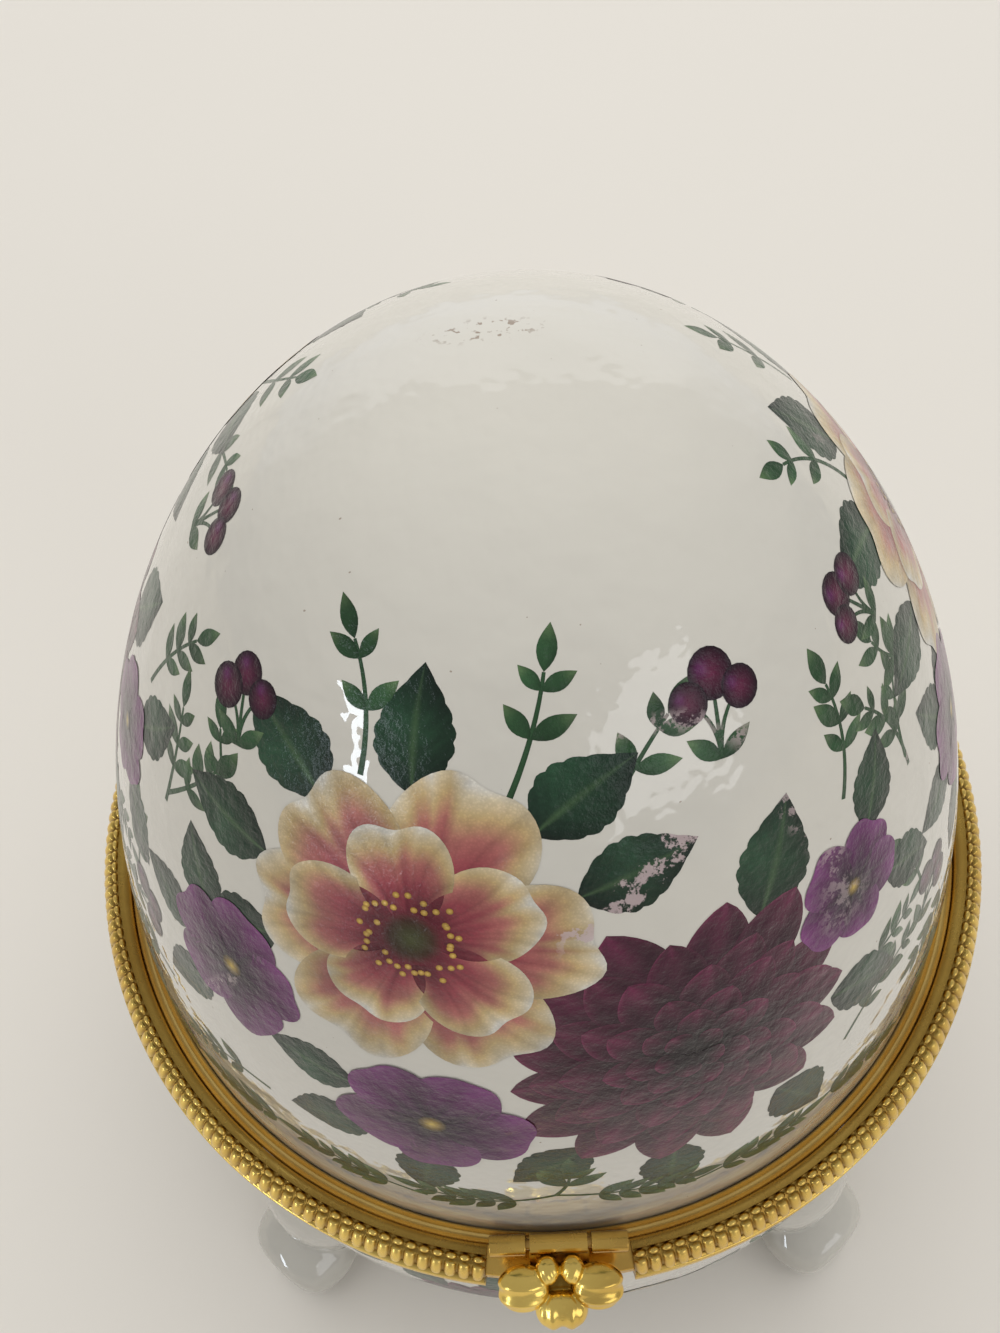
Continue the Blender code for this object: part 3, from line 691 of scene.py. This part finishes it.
def berries(lay, angle, length, seed, size):
    """Three berries on forked stems with a pair of small leaves."""
    length, size = length * MM, size * MM
    draw = np.random.default_rng(seed).uniform
    for k, (side, far) in enumerate(((0.0, 1.0), (-0.42, 0.80), (0.42, 0.84))):
        tip = [far * length * sin(side), far * length * cos(side)]
        route = turned(np.array([[0.0, 0.0], [0.0, far * length * 0.6], tip]), angle)
        stem(lay, route, 0.36 * MM, SPRIG * 0.8, 1)
        radius = size * draw(0.9, 1.1)
        b, a = grid(6, 21, 0.0, tau)
        x, y = b * np.sin(a), b * np.cos(a)
        points = [route[2, 0] + radius * b * np.sin(a), route[2, 1] + radius * b * 1.08 * np.cos(a)]
        glint = np.exp(-(((x + 0.35) ** 2 + (y - 0.35) ** 2) / 0.07))[..., None]
        inks = shades([(0, CLARET), (0.6, WINE), (1, BLACK_WINE)], b + 0 * a)
        inks = inks * (1 - glint * 0.6) + MALLOW * glint * 0.6
        lay(np.stack(points, -1), inks, 1.8 + 0.2 * k)
    for side in (-1, 1):
        small_leaf(lay, (0.0, 0.0), angle + side * 0.9, 3.4 * MM, draw, 1.5)


def lid_garland():
    """Three like groups of flowers, evenly round the lid."""
    target = Print(lid_radius, SEAM_Z)
    for group in range(3):
        seed, at = 100 * (group + 1), partial(target.at, group * tau / 3)
        big, wine, low, side, right = at(-17, 51), at(17, 37), at(-14, 29), at(-42, 38), at(43, 44)
        for shape in (
                (big, (-8, 10), -0.75, 10, 6.8, 1, -1.2),
                (big, (-1, 12.5), -0.15, 9.5, 5.8, 0.9, 1),
                (big, (-13, 3), -1.35, 10, 6.4, 1.1, 1), (big, (-12, -5), -1.9, 10, 6.4, 0.85, -1),
                (big, (8, 11), 0.65, 9.5, 6.2, 1, 1), (big, (12, 6), 1.1, 10, 6.4, 0.85, -0.8),
                (wine, (7, 12.5), 0.5, 10, 6.8, 1.05, -1.2), (wine, (13, 6), 1.15, 10, 6.4, 0.9, 1),
                (wine, (14, -3), 1.9, 10, 6.4, 0.85, 1), (wine, (8, -12.5), 2.5, 10, 6.4, 0.8, 1),
                (wine, (-2, -14.5), -3, 9.5, 6, 0.9, -0.8),
                (wine, (-10, -11), -2.4, 9.5, 6, 0.8, 0.8),
                (low, (-6, -3), -2.1, 9.5, 6, 0.9, 1), (low, (0, -6), -2.9, 9.5, 6, 0.85, -1),
                (low, (-7, 3), -1.5, 9, 5.6, 1, 1), (side, (-3, 4), -0.6, 9, 5.6, 1, 1),
                (side, (-5, 0), -1.5, 9, 5.6, 0.9, 1), (side, (-3, -5), -2.5, 9, 5.6, 0.8, 1),
                (right, (3, 4), 0.7, 8.5, 5.4, 1, -1), (right, (4, -3), 2, 8.5, 5.4, 0.9, 1)):
            leaf(*shape)
        wine_bloom(wine, 16.5, 0.2, seed + 1, 1)
        pink_bloom(big, 15.5, 0.35, seed + 2, 8)
        violet_bloom(low, 9.2, 0.5, seed + 3, 17)
        violet_bloom(side, 8.2, 0.1, seed + 4, 9)
        violet_bloom(right, 6.4, 0.7, seed + 8, 9)
        berries(at(-50, 58), -0.35, 6.0, seed + 5, 1.6)
        berries(at(30, 61), 0.25, 6.5, seed + 6, 1.7)
        berries(at(54, 28), 0.9, 6.5, seed + 7, 1.7)
        sprigs(at, seed + 20, -0.7, 3.5, (
            (-28, 61.5, -0.35, 10, 2), (-4, 62, 0.25, 9.5, 2), (46, 52, 0.30, 10, 3),
            (-60, 47, -0.2, 10, 3), (-54, 24, -1.7, 10, 4), (-36, 21, -1.9, 11, 4),
            (38, 24, 1.1, 11, 4), (60, 48, 0.5, 9, 3), (-64, 32, -0.2, 9, 3),
            (10, 60, 0.7, 9, 2), (-47, 52, -0.5, 8, 2), (40, 33, 1.5, 9, 3)))
        sprigs(at, seed + 60, 0.5, 4.2, [
            (side * azimuth, rise, side * angle, 12.6, 5) for side in (1, -1)
            for azimuth, rise, angle in ((0, 15.5, 1.70), (15.5, 11.5, 1.40), (31, 13.5, 1.72),
                                         (46, 10.5, 1.42))])
        sprigs(at, seed + 70, 0.6, 4.0, ((0, 15.5, 0.25, 5, 2), (60, 11, -0.2, 5, 2)))
    target.piece("lid_garland_print", "lid", "lid_porcelain")


def bowl_garland():
    """Smaller groups of the same flowers round the bowl's belly, between the feet."""
    target = Print(bowl_radius, 0.0)
    for group in range(4):
        seed, at = 1000 + 100 * group, partial(target.at, group * tau / 4)
        first, second, third = at(-9, 42), at(11, 37), at(1, 51)
        for shape in (
                (first, (-5, 5), -0.8, 8, 5.2, 1, 1), (first, (-7, -2), -1.8, 8.5, 5.2, 0.9, 1),
                (first, (1, 7), 0.1, 8, 5.2, 1.1, 1), (second, (6, 4), 0.9, 8, 5.2, 1, -1),
                (second, (6, -3), 1.9, 8.5, 5.2, 0.9, -1),
                (second, (0, -8), 2.9, 7.5, 5.2, 0.8, -1)):
            leaf(*shape)
        dark, light = (second, first) if group % 2 else (first, second)
        wine_bloom(dark, 9.5, 0.4, seed + 1, 1)
        pink_bloom(light, 9.5, 0.1, seed + 2, 8)
        violet_bloom(third, 6.2, 0.3, seed + 3, 17)
        berries(at(-24, 49), -0.5, 6.0, seed + 4, 1.5)
        berries(at(26, 46), 0.6, 6.0, seed + 5, 1.5)
        sprigs(at, seed + 20, 0.5, 3.0, (
            (-20, 40, -1.7, 10, 4), (24, 37, 1.6, 10, 4), (-12, 29, -2.2, 9, 3),
            (6, 27, 2.4, 9, 3), (12, 55, 1.75, 12, 5), (-10, 54, -1.72, 12, 5),
            (26, 53, 1.45, 12, 5), (-24, 52, -1.42, 12, 5), (39, 54.5, 1.7, 9, 4),
            (-37, 54, -1.7, 8, 3), (34, 44, 1.9, 8, 3), (-33, 44, -1.9, 8, 3)))
    target.piece("bowl_garland_print", "base", "bowl_porcelain")


# -------- building blocks of the metalwork
def soften(corners, edge, closed=True):
    """The corners of an outline, each rounded off by a short curve."""
    corners = [np.array(corner, float) for corner in corners]
    found = []
    for k, corner in enumerate(corners):
        if not closed and k in (0, len(corners) - 1):
            found.append(corner)
            continue
        before = corners[k - 1] - corner
        after = corners[(k + 1) % len(corners)] - corner
        before = before / hypot(*before) * edge
        after = after / hypot(*after) * edge
        found += [corner + before * (1 - t) ** 2 + after * t ** 2 for t in np.linspace(0, 1, 4)]
    return found


def barrel(radius, bore, left, right, y, z, edge=0.2 * MM):
    """A knuckle along X with rounded edges and a bore, or a pin where the bore is 0."""
    corners = soften([(bore, left), (radius, left), (radius, right), (bore, right)], edge, False)
    along_x = Matrix.Translation((0, y, z)) @ Matrix.Rotation(pi / 2, 4, "Y")
    return moved(lathe(corners, 40), along_x)


def block(low, high, edge=0.15 * MM):
    """A box with rounded edges."""
    low, high = Vector(low), Vector(high)
    work = bmesh.new()
    bmesh.ops.create_cube(work, size=1.0)
    bmesh.ops.scale(work, vec=high - low, verts=work.verts)
    bmesh.ops.translate(work, vec=(low + high) / 2, verts=work.verts)
    bmesh.ops.bevel(work, geom=list(work.edges), offset=edge, segments=2, affect="EDGES",
                    profile=0.5)
    work.verts.index_update()
    points = np.array([vertex.co[:] for vertex in work.verts])
    faces = [tuple(vertex.index for vertex in face.verts) for face in work.faces]
    work.free()
    return points, faces


def smoothed(points, edges, rounds):
    """Points drawn towards the middle of their neighbours, a number of times."""
    here, there = np.concatenate([edges, edges[:, ::-1]]).T
    count = np.bincount(here, minlength=len(points))[:, None]
    for _ in range(rounds):
        total = np.zeros_like(points)
        np.add.at(total, here, points[there])
        points = points + 0.6 * (total / count - points)
    return points


def fused(parts, voxel, rounds):
    """The outside of overlapping parts as one even, smoothed skin, with its edges."""
    vertices, faces = merged(parts)
    mesh = bpy.data.meshes.new("fused")
    mesh.from_pydata((vertices / MM).tolist(), [], faces)
    rough = linked("fused", mesh)
    skin = rough.modifiers.new("skin", "REMESH")
    skin.mode = "VOXEL"
    skin.voxel_size = voxel / MM
    bpy.context.view_layer.update()
    evaluated = rough.evaluated_get(bpy.context.evaluated_depsgraph_get())
    done = bpy.data.meshes.new_from_object(evaluated)
    points, edges = np.empty(len(done.vertices) * 3), np.empty(len(done.edges) * 2, int)
    done.vertices.foreach_get("co", points)
    done.edges.foreach_get("vertices", edges)
    points, edges = points.reshape(-1, 3) * MM, edges.reshape(-1, 2)
    faces = [tuple(face.vertices) for face in done.polygons]
    bpy.data.objects.remove(rough, do_unlink=True)
    bpy.data.meshes.remove(mesh)
    bpy.data.meshes.remove(done)
    return smoothed(points, edges, rounds), faces, edges


def set_hollow_shade(piece, values):
    """Gives each point its share of painted shade, which the gilt materials read as darker gilt."""
    hollow_shade = piece.data.attributes.new("hollow_shade", "FLOAT", "POINT")
    hollow_shade.data.foreach_set("value", np.ascontiguousarray(values, dtype=np.float32))


# -------- gilt rim
RIBS = 100
RIB_COLUMNS = 12
GROOVE = 0.5 * MM
CREST = BAND_INNER + 0.8 * MM
BAND_EDGE = 1.2 * MM


def half_angle(width, spare):
    """Half the turn that a plate takes on the rim, with something to spare."""
    return asin(width / 2 / BAND_INNER) + spare / BAND_INNER


def rib_height(along, across):
    """0 to 1: a bead at the crest, a long bar under it and a plain lip at each edge."""
    bead = 1 - (across / 0.88) ** 2 - ((along - 0.16) / 0.115) ** 2
    past = np.maximum(0, np.maximum(0.40 - along, along - 0.83)) / 0.09
    bar = 0.9 * (1 - (across / 0.84) ** 2 - past ** 2)
    ribs = np.sqrt(np.clip(np.maximum(bead, bar), 0, 1))
    lip = np.maximum(1 - smoothstep(0.0, 0.03, along), smoothstep(0.92, 0.96, along))
    return np.maximum(ribs, lip)


def make_band(node, side, start, sweep):
    """A length of band whose ribs lie in the band's rounded outside."""
    steps = RIBS * RIB_COLUMNS
    across = 2 * ((np.arange(steps + 1) / RIB_COLUMNS) % 1.0) - 1
    along = np.linspace(0, 1, 37)
    bend = pi / 2 * (1 - along)
    wide, tall = BAND_OUTER - CREST, BAND_TOP - BAND_EDGE
    out = unit(np.stack([np.cos(bend) / wide, np.sin(bend) / tall], -1))
    height = rib_height(along[None, :], across[:, None])
    curve = np.stack([CREST + wide * np.cos(bend), BAND_EDGE + tall * np.sin(bend)], -1)
    curve = curve - out * ((1 - height) * GROOVE)[..., None]
    inner = BAND_INNER - JOINT_FILL
    back = [(BAND_OUTER - 0.15 * MM, 0.5 * MM), (BAND_OUTER - 0.4 * MM, HALF_SEAM),
            (inner + 0.1 * MM, HALF_SEAM), (inner, 0.25 * MM), (inner, BAND_TOP - 0.9 * MM),
            (BAND_INNER + 0.3 * MM, BAND_TOP - 0.3 * MM)]
    section = np.concatenate([curve, np.broadcast_to(back, (steps + 1, len(back), 2))], 1)
    section[..., 1] = SEAM_Z + side * section[..., 1]
    part = swept(section, start, sweep, steps)
    piece = assembled(node, "cast", [part], RIBBED, BODIES[side], "ribbed_gilt", 80)
    # painted shade: dark in the grooves between ribs and along the top inner edge, with a flat
    # share on the back faces
    shade_in_hollows = np.maximum(0.9 * (1 - height) ** 1.3, 0.6 * (1 - smoothstep(0.0, 0.05, along)))
    shade_in_hollows = np.concatenate([shade_in_hollows, np.full((steps + 1, len(back)), 0.3)], 1)
    set_hollow_shade(piece, shade_in_hollows.ravel())


def make_bands():
    front, rear = half_angle(CLASP_WIDTH, 0.3 * MM), half_angle(HINGE_WIDTH, 0.3 * MM)
    sweep = pi - front - rear
    for side, body in BODIES.items():
        make_band(body + "_ribbed_band_right", side, -pi / 2 + front, sweep)
        make_band(body + "_ribbed_band_left", side, pi / 2 + rear, sweep)


def make_collar(side, lip):
    """The turned collar: a ledge, a wall crimped in against the porcelain and a gutter on top."""
    inner, outer, ledge = 48.5 * MM, 49.7 * MM, 44.4 * MM
    middle, half = (lip + outer) / 2, (outer - lip) / 2
    across = np.linspace(1, -1, 29)
    past = np.clip(np.abs(across) - 0.70, 0, 1)
    dip = np.where(np.abs(across) < 0.70, 1 - (across / 0.70) ** 2, 0)
    tops = 2.6 * MM - 0.40 * MM * dip - 0.45 * MM * (past / 0.30) ** 2
    corners = [(ledge, HALF_SEAM), (44.6 * MM, HALF_SEAM), (outer - 0.1 * MM, HALF_SEAM),
               (outer, 0.25 * MM)]
    corners += [(middle + half * t, top) for t, top in zip(across, tops)]
    corners += [(lip + 0.15 * MM, 1.9 * MM), (inner, 1.6 * MM), (inner, 0.95 * MM),
                (inner - 0.1 * MM, 0.85 * MM), (44.6 * MM, 0.85 * MM), (ledge, 0.75 * MM),
                (ledge, 0.25 * MM)]
    part = lathe([(radius, SEAM_Z + side * height) for radius, height in corners], TURNED_STEPS)
    body = BODIES[side]
    piece = assembled(body + "_collar", "turned", [part], SMOOTH, body, "polished_gilt", 60)
    # painted shade: darker in the gutter and over its rounded edges, with a flat share on the inner
    # wall
    shade_in_hollows = [np.zeros(4), 0.28 * dip + 0.15 * past / 0.30, [0.3] * 4, [0.0] * 3]
    set_hollow_shade(piece, np.repeat(np.concatenate(shade_in_hollows), TURNED_STEPS))


# -------- hinge and clasp
def fitting(node, parts, body):
    assembled(node, "turned", parts, SHADED_FITTING, body, "fitting_gilt")


def plate_part(side, width, middle):
    """A short plate in the gap between two lengths of band."""
    inner = BAND_INNER - JOINT_FILL
    corners = [(inner, HALF_SEAM), (PLATE_OUTER, HALF_SEAM), (PLATE_OUTER, 1.2 * MM),
               (inner, 3.5 * MM)]
    corners = [(radius, SEAM_Z + side * height) for radius, height in corners]
    half = half_angle(width, JOINT_FILL)
    return swept(soften(corners, 0.2 * MM), middle - half, 2 * half, 40)


def make_hinge_leaf(side, first):
    """A plate with every other one of the hinge's knuckles."""
    parts = [plate_part(side, HINGE_WIDTH, pi / 2)]
    length = (HINGE_WIDTH - (KNUCKLES - 1) * KNUCKLE_GAP) / KNUCKLES
    for index in range(first, KNUCKLES, 2):
        left = -HINGE_WIDTH / 2 + index * (length + KNUCKLE_GAP)
        right = left + length
        parts.append(barrel(2.3 * MM, 1.15 * MM, left, right, PIN_Y, SEAM_Z))
        inside = sqrt(BAND_INNER ** 2 - max(0, left, -right) ** 2) + 0.6 * MM
        low, high = sorted((side * HALF_SEAM, side * 1.8 * MM))
        parts.append(block((left + 0.1 * MM, inside, SEAM_Z + low),
                           (right - 0.1 * MM, PIN_Y - 0.9 * MM, SEAM_Z + high)))
    fitting(BODIES[side] + "_hinge_leaf", parts, BODIES[side])


def make_pin(node, radius, half, y, z, body):
    part = barrel(radius, 0.0, -half, half, y, z, 0.25 * radius)
    assembled(node, "drawn", [part], PIN, body, "pin_metal")


def make_clasp_plate():
    parts = [plate_part(1, CLASP_WIDTH, -pi / 2)]
    for left, right in ((-CLASP_WIDTH / 2, -3.3 * MM), (3.3 * MM, CLASP_WIDTH / 2)):
        parts.append(barrel(1.0 * MM, 0.65 * MM, left, right, -PIVOT_OUT, PIVOT_Z, 0.12 * MM))
        parts.append(block((left + 0.1 * MM, -PIVOT_OUT - 0.9 * MM, SEAM_Z + 2.9 * MM),
                           (right - 0.1 * MM, -PIVOT_OUT + 0.5 * MM, PIVOT_Z - 0.7 * MM), 0.1 * MM))
    fitting("clasp_plate", parts, "lid")


def make_catch():
    fitting("catch_plate", [plate_part(-1, CLASP_WIDTH, -pi / 2)], "base")
    head = BAND_OUTER + 0.8 * MM
    outline = [(0.0, 50.0 * MM), (0.6 * MM, 50.0 * MM), (0.6 * MM, head - 0.9 * MM)]
    outline += [(1.1 * MM * sin(t), head - 1.1 * MM * cos(t)) for t in np.linspace(0.65, pi, 20)]
    outline[-1] = (0.0, head + 1.1 * MM)
    front = Matrix.Translation((0, 0, SEAM_Z - 2.0 * MM)) @ Matrix.Rotation(pi / 2, 4, "X")
    fitting("catch_stud", [moved(lathe(outline, 40), front)], "base")


def petal(half_sizes, offset, axis, groove=0.0, notch=0.0):
    """A domed petal with a groove along its middle and a notch at its outer end."""
    rows, columns = 38, 64
    turn = np.linspace(0, tau, columns, endpoint=False)[None]
    fall = np.linspace(0, pi, rows + 2)[1:-1, None]
    ball = [np.sin(fall) * np.cos(turn), np.sin(fall) * np.sin(turn), np.cos(fall) + 0 * turn]
    ball = np.stack(ball, -1).reshape(-1, 3)
    x, y, z = np.vstack([ball, [0, 0, 1], [0, 0, -1]]).T
    along, across = x * axis[0] + y * axis[1], -x * axis[1] + y * axis[0]
    line = np.exp(-(across / 0.20) ** 2)
    z = (z - groove * line * smoothstep(-0.9, 0.1, along) * (z > 0)
         + 0.03 * np.cos(across * 16) * (z > 0))
    pull = notch * line * smoothstep(0.2, 1.0, along)
    x, y = x - axis[0] * pull, y - axis[1] * pull
    points = np.stack([x, y, z], -1) * np.array(half_sizes) * MM + np.array(offset) * MM
    points[:, 2] = np.maximum(points[:, 2], 0.0)
    return points, ball_faces(rows, columns)


def make_flower():
    """The cast flower: five petals run together, with a deep eye between them."""
    sides = (-1, 1)
    parts = [petal((2.9, 2.7, 1.8), (4.1 * x, 0, 0.9), (x, 0), 0.20, 0.10) for x in sides]
    parts += [petal((2.9, 2.4, 1.7), (0, -2.9, 0.9), (0, -1), 0.26, 0.14)]
    parts += [petal((1.35, 1.6, 1.3), (1.35 * x, 2.1, 0.9), (0.45 * x, 0.89)) for x in sides]
    parts += [petal((2.2, 2.0, 0.6), (0, 0, 0.15), (0, 1))]
    points, faces, edges = fused(parts, 0.085 * MM, 5)
    points = points * [0.92, 0.90, 0.95] + [0, 0.55 * MM, 0]
    # painted shade: the flower's eye, low between the petals, is made dark
    eye = 1 - smoothstep(0.55 * MM, 1.1 * MM, points[:, 2])
    eye = eye * (np.hypot(points[:, 0], points[:, 1]) < 2.2 * MM)
    place = Matrix.Translation((0, -BAND_OUTER, SEAM_Z + 2.6 * MM)) @ Matrix.Rotation(TILT, 4, "X")
    points, faces = moved((points, faces), place)
    piece = outwards(new_piece("clasp_flower_cast", points, faces, CAST, "hasp", "cast_gilt",
                               "clasp_flower"))
    normals = np.empty(len(points) * 3)
    piece.data.vertices.foreach_get("normal", normals)
    # painted shade: places sunk below their smoothed neighbours are darkened
    sunk = np.einsum("ij,ij->i", smoothed(points, edges, 40) - points, normals.reshape(-1, 3))
    set_hollow_shade(piece, np.maximum(smoothstep(0.02 * MM, 0.20 * MM, sunk), 1.2 * eye))


# -------- feet
LEG_SIDES = 48


def leg_line():
    """Centres and radii along a leg, as arcs between the middles of its guiding points."""
    knee, toe_radius, lift, reach = 8.2 * MM, 6.3 * MM, 5.9 * MM, 61.1 * MM
    flank = float(bowl_radius(25 * MM))
    fall, toe = 25 * MM - lift, reach - toe_radius
    guide = np.array([
        (flank - 1.2 * knee, 25 * MM + 0.3 * knee, 0.9 * knee),
        (flank + 0.1 * knee, 25 * MM + 0.25 * knee, knee),
        (flank + 0.55 * knee, lift + 0.7 * fall, 6.8 * MM),
        (flank + 0.5 * (toe - flank), lift + 0.3 * fall, 5.4 * MM),
        (toe - 0.7 * toe_radius, lift, 5.4 * MM),
        (toe, lift, 1.05 * toe_radius),
        (toe + 0.75 * toe_radius, lift, 0.9 * toe_radius),
        (reach, lift, 0.5 * toe_radius),
        (reach, lift, 0.1 * toe_radius),
    ])
    knots = [guide[0], *((guide[1:-2] + guide[2:-1]) / 2), guide[-1]]
    t = np.linspace(0, 1, 10, endpoint=False)[:, None]
    runs = [(1 - t) ** 2 * first + 2 * t * (1 - t) * bend + t ** 2 * last
            for first, bend, last in zip(knots, guide[1:], knots[1:])]
    return np.concatenate(runs + [guide[-1:]])


def outside_bowl(points):
    """How far points are outside the bowl, and the way out."""
    z = points[..., 2]
    radius = np.hypot(points[..., 0], points[..., 1])
    slope = (bowl_radius(z + 1e-5) - bowl_radius(z - 1e-5)) / 2e-5
    lean = np.sqrt(1 + slope ** 2)
    level = points[..., :2] / np.maximum(radius, 1e-9)[..., None]
    way = np.concatenate([level, -slope[..., None]], -1) / lean[..., None]
    return np.where(z > 9 * MM, (radius - bowl_radius(z)) / lean, 1.0), way


def make_feet():
    """Four curved porcelain legs that swell into the bowl's glaze."""
    line = leg_line()
    along = np.gradient(line[:, :2], axis=0)
    along /= np.maximum(np.hypot(along[:, :1], along[:, 1:]), 1e-12)
    sides = np.linspace(0, tau, LEG_SIDES, endpoint=False)[None, :, None]
    normal = np.stack([-along[:, 1], 0 * along[:, 0], along[:, 0]], -1)
    out = np.cos(sides) * normal[:, None] + 1.2 * np.sin(sides) * np.array([0, 1, 0])
    centre = np.stack([line[:, 0], 0 * line[:, 0], line[:, 1]], -1)
    points = centre[:, None] + out * line[:, None, 2:]
    far, _ = outside_bowl(points)
    flare = 1.4 * MM * (1 - np.clip(far / (3.0 * MM), 0, 1)) ** 2
    points = points + out * flare[..., None]
    for _ in range(3):
        far, way = outside_bowl(points)
        points = points + way * np.maximum(0, -0.9 * MM - far)[..., None]
    skin, faces, _ = fused([(points, tube_faces(len(line), LEG_SIDES))], 0.32 * MM, 9)
    skin[:, 2] = np.maximum(skin[:, 2], 0.0)
    for name, azimuth in (("front_right", -48), ("front_left", -132), ("rear_right", 48),
                          ("rear_left", 132)):
        part = moved((skin, faces), Matrix.Rotation(radians(azimuth), 4, "Z"))
        outwards(new_piece(f"foot_{name}_glazed", *part, SHADED_FOOT_PORCELAIN, "base", "foot_porcelain",
                           "foot_" + name))


# -------- stage, light and camera
ROOM_TINT = (0.97, 0.975, 1.0)
ROOM_LIGHT, WALL_GAIN = 0.43, 0.46
FLOOR_HALF = 12.0
FADE_START, FADE_END = 0.8, 2.4


def room_light(tree, way):
    """How bright the room is in a direction: a pale wall behind, whose edge is soft low down.

    Seen straight, it is as pale as that wall all round.
    """
    soft = ramp(dot(way, (0.0, 0.0, 1.0)), 0.0, 0.45, 0.30, 0.005)
    low, high = maths("SUBTRACT", 0.73, soft), maths("ADD", 0.73, soft)
    wall = ramp(dot(way, (0.0, 1.0, 0.0)), low, high)
    wall = maths("MAXIMUM", wall, put(tree, "LightPath", "Is Camera Ray"))
    return maths("ADD", ROOM_LIGHT, times(wall, WALL_GAIN))


def fade_floor(tree, shader):
    """The far floor runs into the room's tone, seen straight, reflected or through glass."""
    place = place_in(tree)
    far = ramp(length_of(place), FADE_START, FADE_END)
    seen = put(tree, "LightPath", "Is Camera Ray")
    for kind in ("Is Glossy Ray", "Is Transmission Ray"):
        seen = maths("MAXIMUM", seen, put(tree, "LightPath", kind))
    tone = room_light(tree, vector("NORMALIZE", place))
    glow = put(tree, "Emission", Color=ROOM_TINT, Strength=tone)
    mixed = put(tree, "MixShader", _0=times(far, seen), _1=shader.outputs[0], _2=glow)
    join(tree.nodes["Material Output"].inputs["Surface"], mixed)


def make_floor():
    mesh = bpy.data.meshes.new("floor")
    corners = [(x * FLOOR_HALF, y * FLOOR_HALF, 0) for x, y in ((-1, -1), (1, -1), (1, 1), (-1, 1))]
    mesh.from_pydata(corners, [], [(0, 1, 2, 3)])
    floor = linked("floor", mesh)
    material, tree, shader = new_material("pale_table")
    colour = blend_colours(noise(tree, 3.0, 2.0), srgb(222, 217, 208), srgb(230, 225, 216))
    fill(shader, Base_Color=colour, Roughness=0.65)
    fade_floor(tree, shader)
    mesh.materials.append(material)


def area_light(name, place, target, size, power, colour, roll=0.0):
    data = bpy.data.lights.new(name, "AREA")
    data.shape = "RECTANGLE"
    data.size, data.size_y = size
    data.energy = power
    data.color = colour
    light = linked(name, data)
    light.location = place
    light.rotation_mode = "QUATERNION"
    aim = (Vector(target) - Vector(place)).to_track_quat("-Z", "Y")
    light.rotation_quaternion = aim @ Quaternion((0, 0, 1), roll)
    return light


def make_world():
    """A soft room: a pale wall behind and a window in front, which isn't seen straight."""
    world = bpy.data.worlds.new("studio")
    scene.world = world
    world.use_nodes = True
    tree = world.node_tree
    way = put(tree, "TexCoord", "Generated")
    ahead = maths("MAXIMUM", dot(way, (0.64, -0.77, 0.0)), 0.001)
    across = maths("DIVIDE", dot(way, (0.77, 0.64, 0.0)), ahead)
    rise = maths("DIVIDE", dot(way, (0.0, 0.0, 1.0)), ahead)
    wide = ramp(maths("ABSOLUTE", across), 0.35, 0.37, 1.0, 0.0)
    tall = ramp(apart(rise, 0.40), 0.27, 0.29, 1.0, 0.0)
    bright = ramp(put(tree, "LightPath", "Is Camera Ray"), 0.0, 1.0, 1.3, 0.0)
    light = maths("ADD", room_light(tree, way), times(wide, tall, bright))
    fill(tree.nodes["Background"], Color=ROOM_TINT, Strength=light)


def make_lights():
    overhead = area_light("overhead", (0.0, 0.42, 1.40), (0, 0.08, 0), (2.4, 1.7), 18.4,
                          (1.0, 0.99, 0.96))
    overhead.visible_glossy = False
    slit = area_light("slit", (-0.77, -0.645, 0.30), (0, 0, 0.12), (0.10, 0.60), 1.5,
                      (0.82, 0.91, 1.0), radians(30))
    slit.visible_camera = slit.visible_diffuse = False


def make_camera():
    """The camera of the photograph, from a fit of the rim and the lid's outline."""
    tilt, roll, focal = radians(65.9), radians(-2.87), 1250.0
    ring, film = 53.2 * MM, 36.0
    back = Vector((0, -cos(tilt), sin(tilt)))
    place = back * 2.925 * ring + Vector((0, 0, SEAM_Z + 1.0 * MM))
    right = Vector((1, 0, 0))
    seen = Vector(((536.1 - 500) / focal, (808.2 - 666.5) / focal, 1.0)).normalized()
    aimed = Vector((0, 0, 1)).rotation_difference(seen).to_matrix()
    ahead = Matrix((right, right.cross(back), -back))
    to_camera = aimed @ Matrix.Rotation(roll, 3, "Z") @ ahead
    turn = to_camera.transposed() @ Matrix(((1, 0, 0), (0, -1, 0), (0, 0, -1)))
    data = bpy.data.cameras.new("photo_camera")
    data.sensor_width = film
    data.lens = focal * film / 1333
    data.clip_start, data.clip_end = 0.01, 20.0
    camera = linked("photo_camera", data)
    camera.matrix_world = Matrix.Translation(place) @ turn.to_4x4()
    scene.camera = camera


# -------- the whole
make_shells()
lid_garland()
bowl_garland()
make_bands()
make_collar(1, 48.1 * MM)
make_collar(-1, 48.28 * MM)
make_hinge_leaf(1, 1)
make_hinge_leaf(-1, 0)
make_pin("hinge_pin", 1.0 * MM, HINGE_WIDTH / 2, PIN_Y, SEAM_Z, "base")
make_pin("clasp_pin", 0.5 * MM, CLASP_WIDTH / 2, -PIVOT_OUT, PIVOT_Z, "lid")
make_clasp_plate()
make_catch()
make_flower()
make_feet()

# The hasp stays as the CAD has it, with softened edges
hasp = nodes["hasp"]
hasp.data.materials.clear()
hasp.data.materials.append(SHADED_FITTING)
soft_edges = hasp.modifiers.new("soft_edges", "BEVEL")
soft_edges.width = 0.12 * MM
soft_edges.segments = 2
soft_edges.limit_method = "ANGLE"
soft_edges.angle_limit = radians(50)

make_floor()
make_world()
make_lights()
make_camera()
scene.view_settings.view_transform = "Standard"
